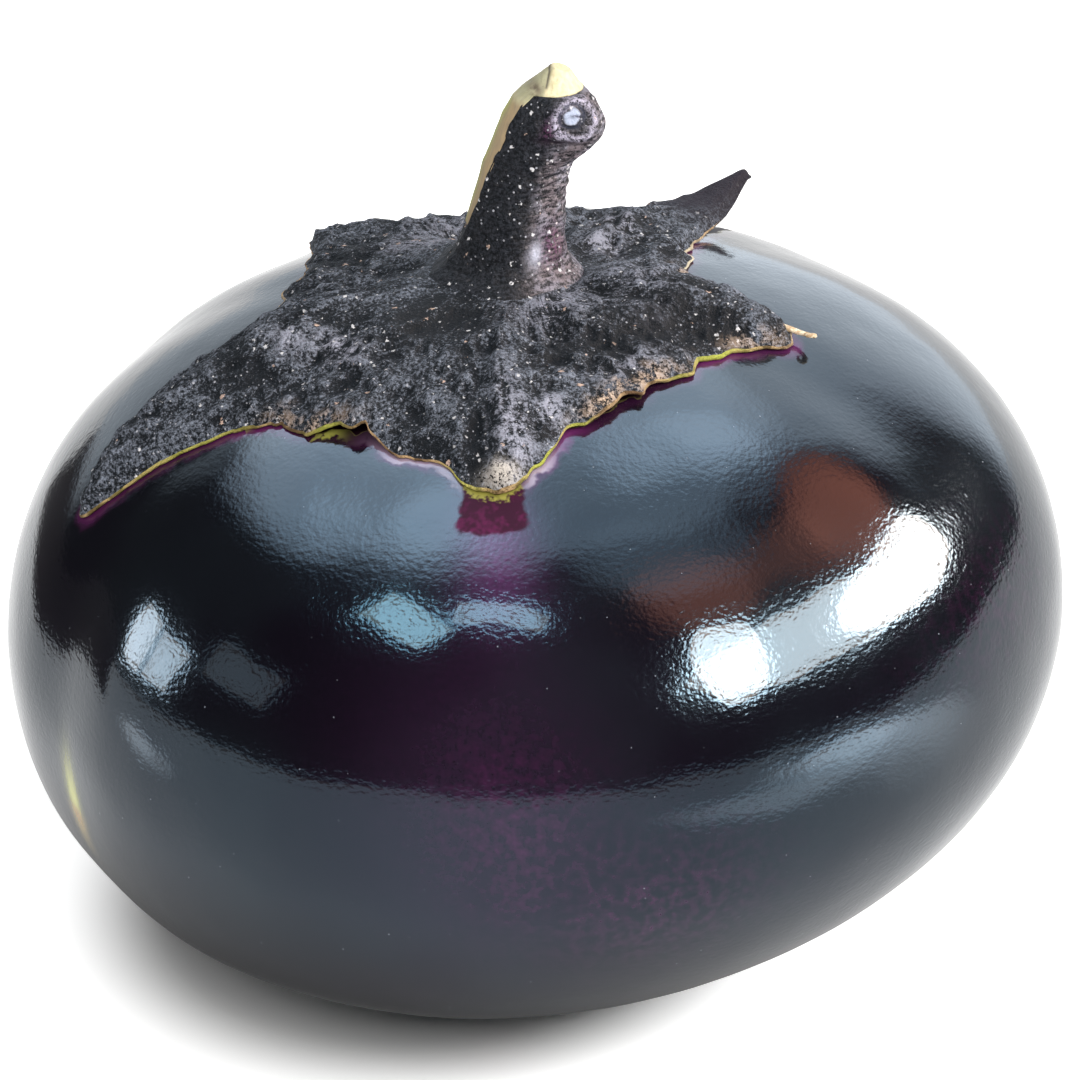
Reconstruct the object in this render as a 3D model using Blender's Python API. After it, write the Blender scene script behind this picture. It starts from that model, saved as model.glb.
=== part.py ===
"""A round eggplant as picked: the wide fruit, the five-lobed calyx that caps it, and the stub of its stem.

Metres, +Z up. The origin is the middle of the small flat spot that the fruit rests on.
An azimuth is counted from -Y, the front, towards +X. A polar angle is counted from the stem end.
"""

import math

import bpy
import numpy as np

MM = 0.001

# The fruit: a flattened globe that leans a little, with shallow grooves down its proud shoulders
HALF_WIDTH = 62.5 * MM
HALF_HEIGHT = 40.8 * MM
FULLNESS = 0.935
LEAN = math.radians(5.85)
SIDE_BULGE = 0.0118
END_BULGE = 0.0048
DIMPLE_DEPTH = 2.4 * MM
DIMPLE_RADIUS = 15.0 * MM
FOOT_PRESS = 1.3 * MM
FOOT_INNER = 0.9
SHOULDER_RISE, SHOULDER_POLAR, SHOULDER_REACH = 0.006, 47, 26

# Each groove: azimuth, half width, depth as a share of the radius, polar middle, polar reach, in degrees
GROOVES = (
    (-60, 8, 0.020, 74, 34),
    (-23, 11, 0.009, 42, 20),
    (27, 12, 0.006, 44, 22),
    (66, 9, 0.014, 52, 26),
    (125, 12, 0.012, 46, 28),
    (152, 11, 0.013, 50, 28),
    (-172, 12, 0.012, 46, 26),
    (-140, 10, 0.014, 52, 28),
    (-114, 11, 0.012, 44, 26),
)

# The calyx: azimuth, reach, spread before and after the tip, bluntness of the tip, in degrees,
# then how high the tip lifts off the skin and how high the lobe's keel stands
SEPALS = (
    (0.5, 36.6, 9.0, 11.0, 4.5, 0.1 * MM, 1.0 * MM),
    (75.5, 34.2, 10.0, 5.5, 1.6, 0.3 * MM, 2.2 * MM),
    (137.0, 40.0, 11.5, 6.0, 1.3, 6.6 * MM, 0.1 * MM),
    (-142.0, 33.0, 10.0, 12.0, 3.0, 1.0 * MM, 0.6 * MM),
    (-69.0, 54.5, 9.0, 8.0, 1.4, 0.1 * MM, 2.2 * MM),
)
TIP_RISE, CURL_RISE = 5, 4
TIP_WIDTH = 0.50
# How far the edge comes down between each lobe and the next one
NOTCHES = (25.6, 19.0, 22.5, 19.5, 28.2)
# Where the edge has curled off the skin between lobes: azimuth, half width in degrees, height
EDGE_CURLS = (
    (-29.0, 6.0, 2.4 * MM),
    (27.0, 13.0, 1.0 * MM),
    (-108.0, 10.0, 0.8 * MM),
)
# Swellings on its back, and the hollow behind the stem: azimuth, share of the way to the edge, half
# widths of both, height
HUMPS = (
    (-152.0, 0.72, 7.0, 0.16, 0.7 * MM),
    (-172.0, 0.76, 5.0, 0.14, 0.5 * MM),
    (158.0, 0.74, 8.0, 0.16, 0.6 * MM),
    (128.0, 0.50, 10.0, 0.16, 0.4 * MM),
    (-40.0, 0.60, 10.0, 0.22, 0.9 * MM),
    (38.0, 0.62, 12.0, 0.20, 0.8 * MM),
    (-178.0, 0.52, 52.0, 0.34, -1.3 * MM),
)
# The torn edge: waves round it, polar swing in degrees and starting angle in degrees
EDGE_WAVES = ((17, 0.35, 40), (29, 0.30, 200), (47, 0.22, 310))
CALYX_GAP = 0.4 * MM
CALYX_EDGE = 1.1 * MM
CALYX_CORE = 2.7 * MM
CORE_FALL = 0.8
KEEL_WIDTH, KEEL_FALL = 13.0, 0.7
LUMP_HEIGHT, LUMPS_ROUND, LUMPS_OUT, LUMP_TWIST, LUMP_START = 0.45 * MM, 7, 9.0, 3, 20
# Where the calyx's top meets the stem's foot, and the share of its reach that flares up to it
SEAT_POLAR = 7.6
FLARE_OUT = 0.3

# The stem: a flared, five-ribbed stub that leans towards +X, with a bud knuckle near its top
STEM_HEIGHT = 22.0 * MM
STEM_FOOT_SHIFT = 2.0 * MM
STEM_FOOT_LIFT = 1.2 * MM
# The stem's middle: share of its height, and how far it has leaned to the right by then
STEM_LEAN = (
    (0.0, 0.0),
    (0.12, 0.5 * MM),
    (0.35, 1.2 * MM),
    (0.6, 2.2 * MM),
    (0.8, 3.7 * MM),
    (1.0, 5.3 * MM),
)
STEM_PROFILE = (
    (0.0, 8.8 * MM),
    (0.05, 7.3 * MM),
    (0.12, 6.4 * MM),
    (0.25, 5.7 * MM),
    (0.45, 5.1 * MM),
    (0.65, 4.75 * MM),
    (0.85, 4.6 * MM),
    (0.95, 4.2 * MM),
    (1.0, 3.5 * MM),
)
STEM_RIB, STEM_RIBS, RIB_FADE = 0.045, 5, 0.5
KNUCKLE_AT, KNUCKLE_REACH = 0.81, 0.15
KNUCKLE_AZIMUTH, KNUCKLE_SPREAD = 62.0, 38.0
KNUCKLE_HEIGHT = 3.1 * MM

# The bared wood: a peeled strip down the far left of the stem, and the torn wedge above it
WOOD_AZIMUTH = -96.0
STRIP_CUT_START, STRIP_START = 0.20, 0.27
STRIP_DEPTH, STRIP_DEEPENS = 1.4 * MM, 0.5
PIECE_GAP = 0.3 * MM
WOOD_HIGH, WOOD_LOW = 2.7 * MM, 2.1 * MM
WOOD_TAPER, WOOD_SHIFT = 0.70, 0.9 * MM
# Points of the rind whose direction is at least this much towards the strip can be cut by its flat
FACING = 0.2

FRUIT_SEGMENTS, FRUIT_RINGS = 72, 32
CALYX_SEGMENTS, CALYX_RINGS, CALYX_UNDER_RINGS = 168, 11, 8
# How much closer together the calyx's points are at its tips, and over what half width in degrees
TIP_CROWDING, CROWDED_WIDTH = 2.5, 7.0
STEM_SEGMENTS, STEM_RINGS = 36, 22
WOOD_SEGMENTS, WOOD_RINGS = 20, 12
SHARP_ANGLE = math.radians(40)

COLOURS = {
    "fruit": ((0.012, 0.008, 0.018, 1.0), 0.16),
    "calyx": ((0.030, 0.032, 0.036, 1.0), 0.62),
    "stem": ((0.028, 0.027, 0.032, 1.0), 0.58),
    "stem_wood": ((0.78, 0.70, 0.42, 1.0), 0.7),
}


def turn_between(azimuth, middle):
    """The turn from middle to azimuth in degrees, between -180 and 180."""
    return (azimuth - middle + 180.0) % 360.0 - 180.0


def leaned(x, y, z):
    """A point of the upright fruit, once the fruit leans its stem end towards -X."""
    cosine, sine = math.cos(LEAN), math.sin(LEAN)
    return np.stack([cosine * x - sine * z, y, sine * x + cosine * z], axis=-1)


def groove_depth(polar, azimuth):
    """How deep the shoulder grooves are there, as a share of the radius. Angles in degrees."""
    depth = 0.0
    for middle, width, share, height, reach in GROOVES:
        across = np.exp(-((turn_between(azimuth, middle) / width) ** 2))
        along = np.exp(-(((polar - height) / reach) ** 2))
        depth = depth + share * across * along
    return depth


def skin(polar, azimuth, proud=0.0):
    """Points on the fruit's skin about the fruit's middle, raised off it by proud. Angles in degrees."""
    sine, cosine = np.sin(np.radians(polar)), np.cos(np.radians(polar))
    east, front = np.sin(np.radians(azimuth)), np.cos(np.radians(azimuth))
    side, up = sine * east, cosine
    swell = 1 + SIDE_BULGE * (side**3 - 3 * side * up**2) + END_BULGE * (up**3 - 3 * up * side**2)
    swell = swell + SHOULDER_RISE * np.exp(-(((polar - SHOULDER_POLAR) / SHOULDER_REACH) ** 2))
    swell = swell - groove_depth(polar, azimuth)
    radius = HALF_WIDTH * np.abs(sine) ** FULLNESS * swell
    height = HALF_HEIGHT * np.sign(cosine) * np.abs(cosine) ** FULLNESS * swell
    height = height - DIMPLE_DEPTH * np.exp(-((radius / DIMPLE_RADIUS) ** 2)) * (up > 0)
    slope_out, slope_up = sine / HALF_WIDTH, cosine / HALF_HEIGHT
    length = np.hypot(slope_out, slope_up)
    radius = radius + proud * slope_out / length
    height = height + proud * slope_up / length
    return leaned(radius * east, -radius * front, height)


def lowest_point():
    """The lowest point of the leaning fruit, before its foot is pressed flat."""
    polar, azimuth = np.meshgrid(np.linspace(150, 180, 121), np.arange(0, 360, 3.0))
    points = skin(polar, azimuth).reshape(-1, 3)
    return points[points[:, 2].argmin()]


def foot_polar(azimuth, floor):
    """The polar angle at which the skin meets the floor height, for each azimuth, by halving."""
    high = np.full(azimuth.shape, 130.0)
    low = np.full(azimuth.shape, 180.0)
    for _ in range(40):
        middle = (high + low) / 2
        above = skin(middle, azimuth)[:, 2] > floor
        high = np.where(above, middle, high)
        low = np.where(above, low, middle)
    return high


LOWEST = lowest_point()
FLOOR = LOWEST[2] + FOOT_PRESS


def foot_middle():
    """The middle of the pressed flat spot, about the fruit's middle."""
    azimuth = np.arange(0, 360, 5.0)
    rim = skin(foot_polar(azimuth, FLOOR), azimuth)
    middle = (rim.min(axis=0) + rim.max(axis=0)) / 2
    return np.array([middle[0], middle[1], FLOOR])


ORIGIN = foot_middle()


def placed(points):
    """Points about the fruit's middle, moved so that the origin is the middle of the flat spot."""
    return points - ORIGIN


def grid_solid(name, rings):
    """A closed solid from rings of points, the first and the last of them filled in."""
    count = len(rings[0])
    vertices = [tuple(point) for ring in rings for point in ring]
    faces = []
    for i in range(len(rings) - 1):
        for j in range(count):
            k = (j + 1) % count
            faces.append((i * count + j, (i + 1) * count + j, (i + 1) * count + k, i * count + k))
    faces.append(tuple(range(count)))
    last = (len(rings) - 1) * count
    faces.append(tuple(last + j for j in reversed(range(count))))
    mesh = bpy.data.meshes.new(name)
    mesh.from_pydata(vertices, [], faces)
    mesh.validate()
    solid = bpy.data.objects.new(name, mesh)
    bpy.context.scene.collection.objects.link(solid)
    mesh.shade_smooth()
    mesh.set_sharp_from_angle(angle=SHARP_ANGLE)
    mesh.materials.append(finish(name))
    return solid


def finish(name):
    """The plain finish of a piece: its colour and roughness."""
    colour, roughness = COLOURS[name]
    material = bpy.data.materials.new(name)
    material.use_nodes = True
    shader = material.node_tree.nodes["Principled BSDF"]
    shader.inputs["Base Color"].default_value = colour
    shader.inputs["Roughness"].default_value = roughness
    shader.inputs["Metallic"].default_value = 0.0
    return material


def make_fruit():
    """The fruit, from a small ring at its stem end to its flat foot."""
    azimuth = np.arange(FRUIT_SEGMENTS) * 360.0 / FRUIT_SEGMENTS
    foot = foot_polar(azimuth, FLOOR)
    shares = (np.arange(FRUIT_RINGS) + 0.5) / (FRUIT_RINGS - 0.5)
    rings = [placed(skin(foot * share, azimuth)) for share in shares]
    rings[-1][:, 2] = 0.0
    rings.append(rings[-1] * FOOT_INNER)
    return grid_solid("fruit", rings)


def edge_polar(azimuth):
    """How far the calyx comes down at each azimuth, as a polar angle."""
    edge = np.zeros_like(azimuth)
    count = len(SEPALS)
    for i, notch in enumerate(NOTCHES):
        first, second = SEPALS[i], SEPALS[(i + 1) % count]
        gap = (second[0] - first[0]) % 360.0
        after = (azimuth - first[0]) % 360.0
        within = after < gap
        down = notch + lobe(after, first[1] - notch, first[3], first[4])
        down = down + lobe(gap - after, second[1] - notch, second[2], second[4])
        edge = np.where(within, down, edge)
    for waves, swing, start in EDGE_WAVES:
        edge = edge + swing * np.sin(np.radians(waves * azimuth + start))
    return edge


def lobe(turn, reach, spread, blunt):
    """A lobe's extra reach at a turn from its tip: rounded at the tip, then falling off."""
    away = np.hypot(turn, blunt) - blunt
    return reach * np.exp(-away / spread)


def calyx_lift(share, polar, azimuth):
    """How far the calyx stands off the skin, at a share of the way from the stem to its edge."""
    lift = 0.0
    for middle, reach, before, after, _, tip, _ in SEPALS:
        spread = TIP_WIDTH * (before + after)
        near = np.exp(-((turn_between(azimuth, middle) / spread) ** 2))
        lift = lift + tip * near * np.minimum(polar / reach, 1) ** TIP_RISE
    for middle, width, height in EDGE_CURLS:
        near = np.exp(-((turn_between(azimuth, middle) / width) ** 2))
        lift = lift + height * near * share**CURL_RISE
    return lift


def calyx_thickness(share, azimuth):
    """The calyx's thickness at a share of the way from the stem to its edge: keels, humps and lumps."""
    thick = CALYX_EDGE + (CALYX_CORE - CALYX_EDGE) * (1 - share) ** CORE_FALL
    for middle, _, _, _, _, _, keel in SEPALS:
        near = np.exp(-((turn_between(azimuth, middle) / KEEL_WIDTH) ** 2))
        thick = thick + keel * near * np.sin(np.pi * share**KEEL_FALL)
    for middle, out, width, reach, height in HUMPS:
        near = np.exp(-((turn_between(azimuth, middle) / width) ** 2) - ((share - out) / reach) ** 2)
        thick = thick + height * near
    around = np.sin(np.radians(LUMPS_ROUND * azimuth + LUMP_START))
    outwards = np.sin(LUMPS_OUT * share + np.radians(LUMP_TWIST * azimuth))
    return thick + LUMP_HEIGHT * around * outwards * np.sin(np.pi * share)


def crowded(count, middles):
    """Azimuths all the way round, closer together near the middles given."""
    fine = np.linspace(-180, 180, 3601)
    density = np.ones_like(fine)
    for middle in middles:
        density += TIP_CROWDING * np.exp(-((turn_between(fine, middle) / CROWDED_WIDTH) ** 2))
    total = np.concatenate([[0], np.cumsum((density[1:] + density[:-1]) / 2)])
    return np.interp(np.arange(count) / count * total[-1], total, fine)


def make_calyx():
    """The calyx: from the rim under the stem's foot out over its top to the edge, and back underneath."""
    azimuth = crowded(CALYX_SEGMENTS, [sepal[0] for sepal in SEPALS])
    edge = edge_polar(azimuth)
    seat = stem_ring(0.0, azimuth, stem_radius(0.0, azimuth)) - np.array([0, 0, PIECE_GAP])
    rings = []
    for out in np.linspace(0, 1, CALYX_RINGS):
        share = np.minimum((SEAT_POLAR + (edge - SEAT_POLAR) * out) / edge, 1)
        under = CALYX_GAP + calyx_lift(share, edge * share, azimuth)
        top = placed(skin(edge * share, azimuth, under + calyx_thickness(share, azimuth)))
        flare = smooth_step(1 - out / FLARE_OUT)
        rings.append(top + (seat - top) * flare)
    for share in np.linspace(1, 0, CALYX_UNDER_RINGS + 1)[:-1]:
        under = CALYX_GAP + calyx_lift(share, edge * share, azimuth)
        rings.append(placed(skin(edge * share, azimuth, under)))
    return grid_solid("calyx", rings)


def smooth_step(share):
    """Rises from 0 to 1 as the share does, level at both ends."""
    share = np.clip(share, 0, 1)
    return share * share * (3 - 2 * share)


def stem_middle(share):
    """The middle of the stem at a share of its height."""
    foot = skin(np.array(0.0), np.array(0.0), CALYX_GAP + CALYX_CORE + STEM_FOOT_LIFT)
    lean = STEM_FOOT_SHIFT + np.interp(share, *zip(*STEM_LEAN))
    return placed(foot) + np.array([lean, 0.0, STEM_HEIGHT * share])


def stem_radius(share, azimuth):
    """The stem's radius at a share of its height: the flare, five soft ribs and the bud knuckle."""
    radius = np.interp(share, *zip(*STEM_PROFILE))
    rib = 1 + STEM_RIB * (1 - RIB_FADE * share) * np.cos(np.radians(STEM_RIBS * azimuth))
    around = np.exp(-((turn_between(azimuth, KNUCKLE_AZIMUTH) / KNUCKLE_SPREAD) ** 2))
    along = np.exp(-(((share - KNUCKLE_AT) / KNUCKLE_REACH) ** 2))
    return radius * rib + KNUCKLE_HEIGHT * around * along


def stem_ring(share, azimuth, radius):
    """Points at the radius round the stem's middle."""
    east, front = np.sin(np.radians(azimuth)), np.cos(np.radians(azimuth))
    offsets = np.stack([radius * east, -radius * front, np.zeros_like(east)], axis=-1)
    return stem_middle(share) + offsets


def strip_depth(share):
    """How deep the peeled strip cuts into the stem at a share of its height."""
    along = np.clip((share - STRIP_CUT_START) / (1 - STRIP_CUT_START), 0, 1)
    return STRIP_DEPTH * along**STRIP_DEEPENS


def make_stem():
    """The stem's dark rind, with a flat down the side where the strip is peeled off."""
    azimuth = np.arange(STEM_SEGMENTS) * 360.0 / STEM_SEGMENTS
    rings = []
    for share in np.linspace(1, 0, STEM_RINGS):
        radius = stem_radius(share, azimuth)
        towards = np.cos(np.radians(turn_between(azimuth, WOOD_AZIMUTH)))
        chord = stem_radius(share, WOOD_AZIMUTH) - strip_depth(share)
        facing = towards > FACING
        radius[facing] = np.minimum(radius, chord / np.maximum(towards, FACING))[facing]
        rings.append(stem_ring(share, azimuth, radius))
    return grid_solid("stem", rings)


def make_stem_wood():
    """The bared wood: the peeled strip, widening to the torn wedge that ends the stem."""
    turn = np.arange(WOOD_SEGMENTS) * 360.0 / WOOD_SEGMENTS
    rings = []
    for share in np.linspace(STRIP_START, 1, WOOD_RINGS):
        rings.append(strip_ring(share, turn))
    step = rings[-1].copy()
    step[:, 2] += PIECE_GAP
    rings.append(step)
    rings.append(cut_ring(turn, 0.0))
    rings.append(cut_ring(turn, 0.5))
    rings.append(cut_ring(turn, 1.0))
    return grid_solid("stem_wood", rings[::-1])


def strip_ring(share, turn):
    """The peeled strip's section: between the stem's flat and the stem's own round outside."""
    outer = stem_radius(share, WOOD_AZIMUTH)
    depth = strip_depth(share) - PIECE_GAP
    flat = outer - depth
    half = math.sqrt(outer**2 - flat**2)
    across = half * np.sin(np.radians(turn))
    round_side = np.sqrt(outer**2 - across**2)
    out = np.where(np.cos(np.radians(turn)) > 0, round_side, flat)
    angle = math.radians(WOOD_AZIMUTH)
    east = out * math.sin(angle) + across * math.cos(angle)
    south = out * math.cos(angle) - across * math.sin(angle)
    offsets = np.stack([east, -south, np.zeros_like(east)], axis=-1)
    return stem_middle(share) + offsets


def cut_ring(turn, share):
    """The wood above the rind, drawn in from its foot to the blunt torn wedge at its top."""
    azimuth = WOOD_AZIMUTH + turn
    radius = stem_radius(1.0, WOOD_AZIMUTH) * (1 - WOOD_TAPER * share)
    ring = stem_ring(1.0, azimuth, radius * np.ones_like(turn))
    high = (1 + np.cos(np.radians(turn))) / 2
    ring[:, 0] += share * WOOD_SHIFT
    ring[:, 2] += PIECE_GAP + share * (WOOD_LOW + (WOOD_HIGH - WOOD_LOW) * high)
    return ring


def clear_scene():
    """Removes every object of the scene."""
    for item in list(bpy.data.objects):
        bpy.data.objects.remove(item)


def main():
    clear_scene()
    make_fruit()
    make_calyx()
    make_stem()
    make_stem_wood()


main()
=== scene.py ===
"""A round eggplant on a pale floor: glossy skin, rough lobed calyx, speckled stem and its bared wood.

Metres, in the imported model's own frame. An azimuth is counted from -Y, the front, towards +X, and a
polar angle from the fruit's stem end. Both are in degrees.
"""

import itertools
import math

import bpy
import numpy as np
from bpy.props import FloatProperty, FloatVectorProperty, IntProperty, PointerProperty
from mathutils import Matrix, Vector


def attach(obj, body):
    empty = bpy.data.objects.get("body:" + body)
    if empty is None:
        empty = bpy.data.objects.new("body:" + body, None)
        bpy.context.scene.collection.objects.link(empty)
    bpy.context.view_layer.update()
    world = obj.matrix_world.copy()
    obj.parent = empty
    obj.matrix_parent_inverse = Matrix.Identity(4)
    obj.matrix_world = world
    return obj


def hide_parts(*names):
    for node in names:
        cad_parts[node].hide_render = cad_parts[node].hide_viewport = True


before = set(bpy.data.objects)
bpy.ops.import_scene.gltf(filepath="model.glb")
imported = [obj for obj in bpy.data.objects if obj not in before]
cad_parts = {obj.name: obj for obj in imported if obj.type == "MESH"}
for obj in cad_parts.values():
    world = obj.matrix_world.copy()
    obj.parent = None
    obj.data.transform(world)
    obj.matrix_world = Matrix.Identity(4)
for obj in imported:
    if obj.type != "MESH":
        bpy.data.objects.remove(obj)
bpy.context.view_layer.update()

bl_info = {
    "name": "Round Eggplant",
    "version": (1, 0, 0),
    "blender": (4, 5, 0),
    "location": "View3D > Sidebar > Eggplant",
    "description": "Builds a round eggplant with its calyx, stem and studio",
    "category": "Add Mesh",
}

MM = 0.001

# The fruit: a flattened globe that leans a little, with shallow grooves down its proud shoulders
HALF_WIDTH = 62.5 * MM
HALF_HEIGHT = 40.8 * MM
FULLNESS = 0.935
LEAN = math.radians(5.85)
SIDE_BULGE = 0.0118
END_BULGE = 0.0048
DIMPLE_DEPTH = 2.4 * MM
DIMPLE_RADIUS = 15.0 * MM
FOOT_PRESS = 1.3 * MM
FOOT_INNER = 0.9
SHOULDER_RISE, SHOULDER_POLAR, SHOULDER_REACH = 0.006, 47, 26

# Each groove: azimuth, polar, half widths of both, depth as a share of the radius
GROOVES = (
    (-60, 74, 8, 34, 0.020),
    (-23, 42, 11, 20, 0.009),
    (27, 44, 12, 22, 0.006),
    (66, 52, 9, 26, 0.014),
    (125, 46, 12, 28, 0.012),
    (152, 50, 11, 28, 0.013),
    (-172, 46, 12, 26, 0.012),
    (-140, 52, 10, 28, 0.014),
    (-114, 44, 11, 26, 0.012),
)

# The calyx: azimuth, reach, spread before and after the tip, bluntness of the tip, then how high the
# tip lifts off the skin and how high the lobe's keel stands
SEPALS = (
    (0.5, 36.6, 9.0, 11.0, 4.5, 0.1 * MM, 1.0 * MM),
    (75.5, 34.2, 10.0, 5.5, 1.6, 0.3 * MM, 2.2 * MM),
    (137.0, 40.0, 11.5, 6.0, 1.3, 6.6 * MM, 0.1 * MM),
    (-142.0, 33.0, 10.0, 12.0, 3.0, 1.0 * MM, 0.6 * MM),
    (-69.0, 54.5, 9.0, 8.0, 1.4, 0.1 * MM, 2.2 * MM),
)
TIP_RISE, CURL_RISE = 5, 4
TIP_WIDTH = 0.50
# How far the edge comes down between each lobe and the next one
NOTCHES = (25.6, 19.0, 22.5, 19.5, 28.2)
# Where the edge has curled off the skin between lobes: azimuth, half width, height
EDGE_CURLS = (
    (-29.0, 6.0, 1.7 * MM),
    (27.0, 13.0, 1.0 * MM),
    (-108.0, 10.0, 0.8 * MM),
)
# Swellings on its back, and the hollow behind the stem: azimuth, share of the way to the edge, half
# widths of both, height
HUMPS = (
    (-152.0, 0.72, 7.0, 0.16, 0.7 * MM),
    (-172.0, 0.76, 5.0, 0.14, 0.5 * MM),
    (158.0, 0.74, 8.0, 0.16, 0.6 * MM),
    (128.0, 0.50, 10.0, 0.16, 0.4 * MM),
    (-40.0, 0.60, 10.0, 0.22, 0.9 * MM),
    (38.0, 0.62, 12.0, 0.20, 0.8 * MM),
    (-178.0, 0.52, 52.0, 0.34, -1.3 * MM),
)
# The torn edge: waves round it, polar swing and starting angle
EDGE_WAVES = ((17, 0.35, 40), (29, 0.30, 200), (47, 0.22, 310))
CALYX_GAP = 0.4 * MM
CALYX_EDGE = 1.1 * MM
CALYX_CORE = 2.7 * MM
CORE_FALL = 0.8
KEEL_WIDTH, KEEL_FALL = 13.0, 0.7
LUMP_HEIGHT, LUMPS_ROUND, LUMPS_OUT, LUMP_TWIST, LUMP_START = 0.45 * MM, 7, 9.0, 3, 20
SEAT_POLAR = 7.6
FLARE_OUT = 0.3
TIP_CROWDING, CROWDED_WIDTH = 2.5, 7.0
HORN_AZIMUTH = 137.0
# The veins' fan: how wide it is unrolled, and how much longer than wide its wrinkles are
FAN_RADIUS, FAN_STRETCH = 22.0 * MM, 0.42
# How near the skin the torn edge lies, how thick it is, and where it is thicker: azimuth, half width, height
EDGE_GAP, EDGE_THIN = 0.12 * MM, 0.30 * MM
EDGE_THICKER = (
    (55, 9, 0.55 * MM),
    (28, 9, 0.25 * MM),
    (9, 4, 0.25 * MM),
    (0.5, 3, 0.40 * MM),
    (-35, 4, 0.25 * MM),
    (-60, 14, 0.10 * MM),
)
# Small tears in the edge: azimuth, half width, how much further down the edge comes
TEARS = (
    (137, 1.5, 1.8),
    (-26.3, 1.4, -1.4),
    (-47, 0.8, 0.5),
    (33, 1.0, 0.4),
    (-38, 1.0, 0.6),
    (75.5, 2.5, -1.2),
)
# Where the edge strays less: azimuth, half width, share
CALM_EDGE = ((HORN_AZIMUTH, 8, 0.9), (108, 12, 0.8))
# The sharp folds: polar and azimuth at each end, height, and how far it spreads on its two sides
FOLDS = (
    ((14, 4.5), (36, 0.3), 0.60 * MM, 2.4 * MM, 0.5 * MM),
    ((14, 11.5), (34, 5.0), 0.25 * MM, 1.2 * MM, 0.6 * MM),
    ((15, -1.0), (34, -3.2), -0.60 * MM, 0.9 * MM, 0.9 * MM),
    ((15, 42), (20, 64), 0.90 * MM, 3.6 * MM, 1.3 * MM),
    ((20, 64), (31, 71), 0.70 * MM, 2.4 * MM, 1.0 * MM),
    ((15, 24), (18, 34), -0.80 * MM, 1.6 * MM, 2.2 * MM),
    ((19, 48), (22, 58), -0.60 * MM, 1.2 * MM, 2.0 * MM),
    ((11, -48), (20, -63), 0.60 * MM, 2.6 * MM, 1.1 * MM),
    ((20, -63), (44, -70), 0.45 * MM, 2.0 * MM, 1.0 * MM),
    ((22, -52), (28, -40), -0.35 * MM, 0.8 * MM, 0.8 * MM),
    ((12.5, 104), (14, 116), -0.70 * MM, 1.4 * MM, 1.4 * MM),
    ((11, 124), (19, 133), 0.60 * MM, 0.9 * MM, 0.9 * MM),
)
# Where the calyx is paler, partly its lilac bloom and partly a painted highlight on faces the light falls on,
# and where painted shade darkens its folds, hollows and faces turned from the light: azimuth, polar, half
# widths of both, strength
PALE_AND_LIT_PATCHES = (
    (4.5, 29.0, 3.2, 7.0, 1.0),
    (12.5, 26.5, 3.0, 2.2, 0.9),
    (-47.0, 19.0, 8.0, 1.6, 1.0),
    (-60.0, 21.5, 5.0, 1.6, 0.6),
    (35.0, 23.5, 10.0, 1.8, 0.4),
    (34.0, 11.0, 20.0, 2.8, 0.7),
    (75.0, 15.5, 18.0, 4.5, 0.35),
    (122.0, 12.5, 8.0, 1.6, 0.8),
    (131.0, 17.0, 7.0, 2.2, 0.8),
    (-142.0, 12.5, 11.0, 2.0, 0.7),
    (-165.0, 15.0, 14.0, 5.0, 0.4),
)
# Painted shade: the folds, hollows and faces turned from the light
PAINTED_SHADE_PATCHES = (
    (-2.6, 29.0, 1.7, 7.0, 1.0),
    (30.0, 17.5, 12.0, 2.6, 1.1),
    (51.0, 20.0, 10.5, 2.8, 1.1),
    (64.5, 25.0, 5.5, 3.0, 1.0),
    (-12.0, 31.5, 7.0, 2.2, 0.5),
    (-25.0, 12.5, 26.0, 4.0, 0.9),
    (-60.0, 28.0, 9.0, 3.0, 0.5),
    (110.0, 13.5, 7.0, 1.8, 0.9),
    (-112.0, 19.0, 14.0, 3.5, 0.5),
    (-132.0, 17.0, 8.0, 3.0, 0.6),
)
# Along the edge, the yellow-green flesh, the cream flesh and the dry crumbs: azimuth, half width, strength
FRESH_EDGE = (
    (57, 7, 1.0),
    (44, 4, 0.5),
    (17, 3, 0.8),
    (8.5, 3.5, 1.0),
    (-5, 3.5, 0.7),
    (-34, 4, 0.9),
    (-58, 7, 0.7),
)
CREAM_EDGE = ((80, 5, 0.9), (92, 9, 1.0), (110, 12, 1.0), (-95, 8, 0.5))
CRUMBS = ((24, 6, 1.0), (36, 9, 1.0), (66, 5, 0.6), (90, 8, 0.8), (-36, 6, 0.7), (-46, 4, 0.5))
# The corky tip of the front lobe, as a patch
CORK_TIP = ((1.6, 35.0, 2.9, 1.3, 1.0),)
# How the rings crowd towards the edge, over how far it thickens from its thinnest, and the rings beneath
EDGE_CROWDING, EDGE_FADE, EDGE_THINNEST, UNDERSIDE_RINGS = 1.3, 2.2 * MM, 0.2 * MM, 17

# The stem: a flared, five-ribbed stub that leans towards +X, with a bud knuckle near its top
STEM_HEIGHT = 22.0 * MM
STEM_FOOT_SHIFT = 2.0 * MM
STEM_FOOT_LIFT = 1.2 * MM
STEM_LEAN = (
    (0.0, 0.0),
    (0.12, 0.5 * MM),
    (0.35, 1.2 * MM),
    (0.6, 2.2 * MM),
    (0.8, 3.7 * MM),
    (1.0, 5.3 * MM),
)
STEM_PROFILE = (
    (0.0, 8.8 * MM),
    (0.05, 7.3 * MM),
    (0.12, 6.4 * MM),
    (0.25, 5.7 * MM),
    (0.45, 5.1 * MM),
    (0.65, 4.75 * MM),
    (0.85, 4.6 * MM),
    (0.95, 4.2 * MM),
    (1.0, 3.5 * MM),
)
STEM_RIB, STEM_RIBS, RIB_FADE = 0.045, 5, 0.5
KNUCKLE_AT, KNUCKLE_REACH = 0.81, 0.15
KNUCKLE_AZIMUTH, KNUCKLE_SPREAD = 62.0, 38.0
KNUCKLE_HEIGHT = 3.1 * MM
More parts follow.
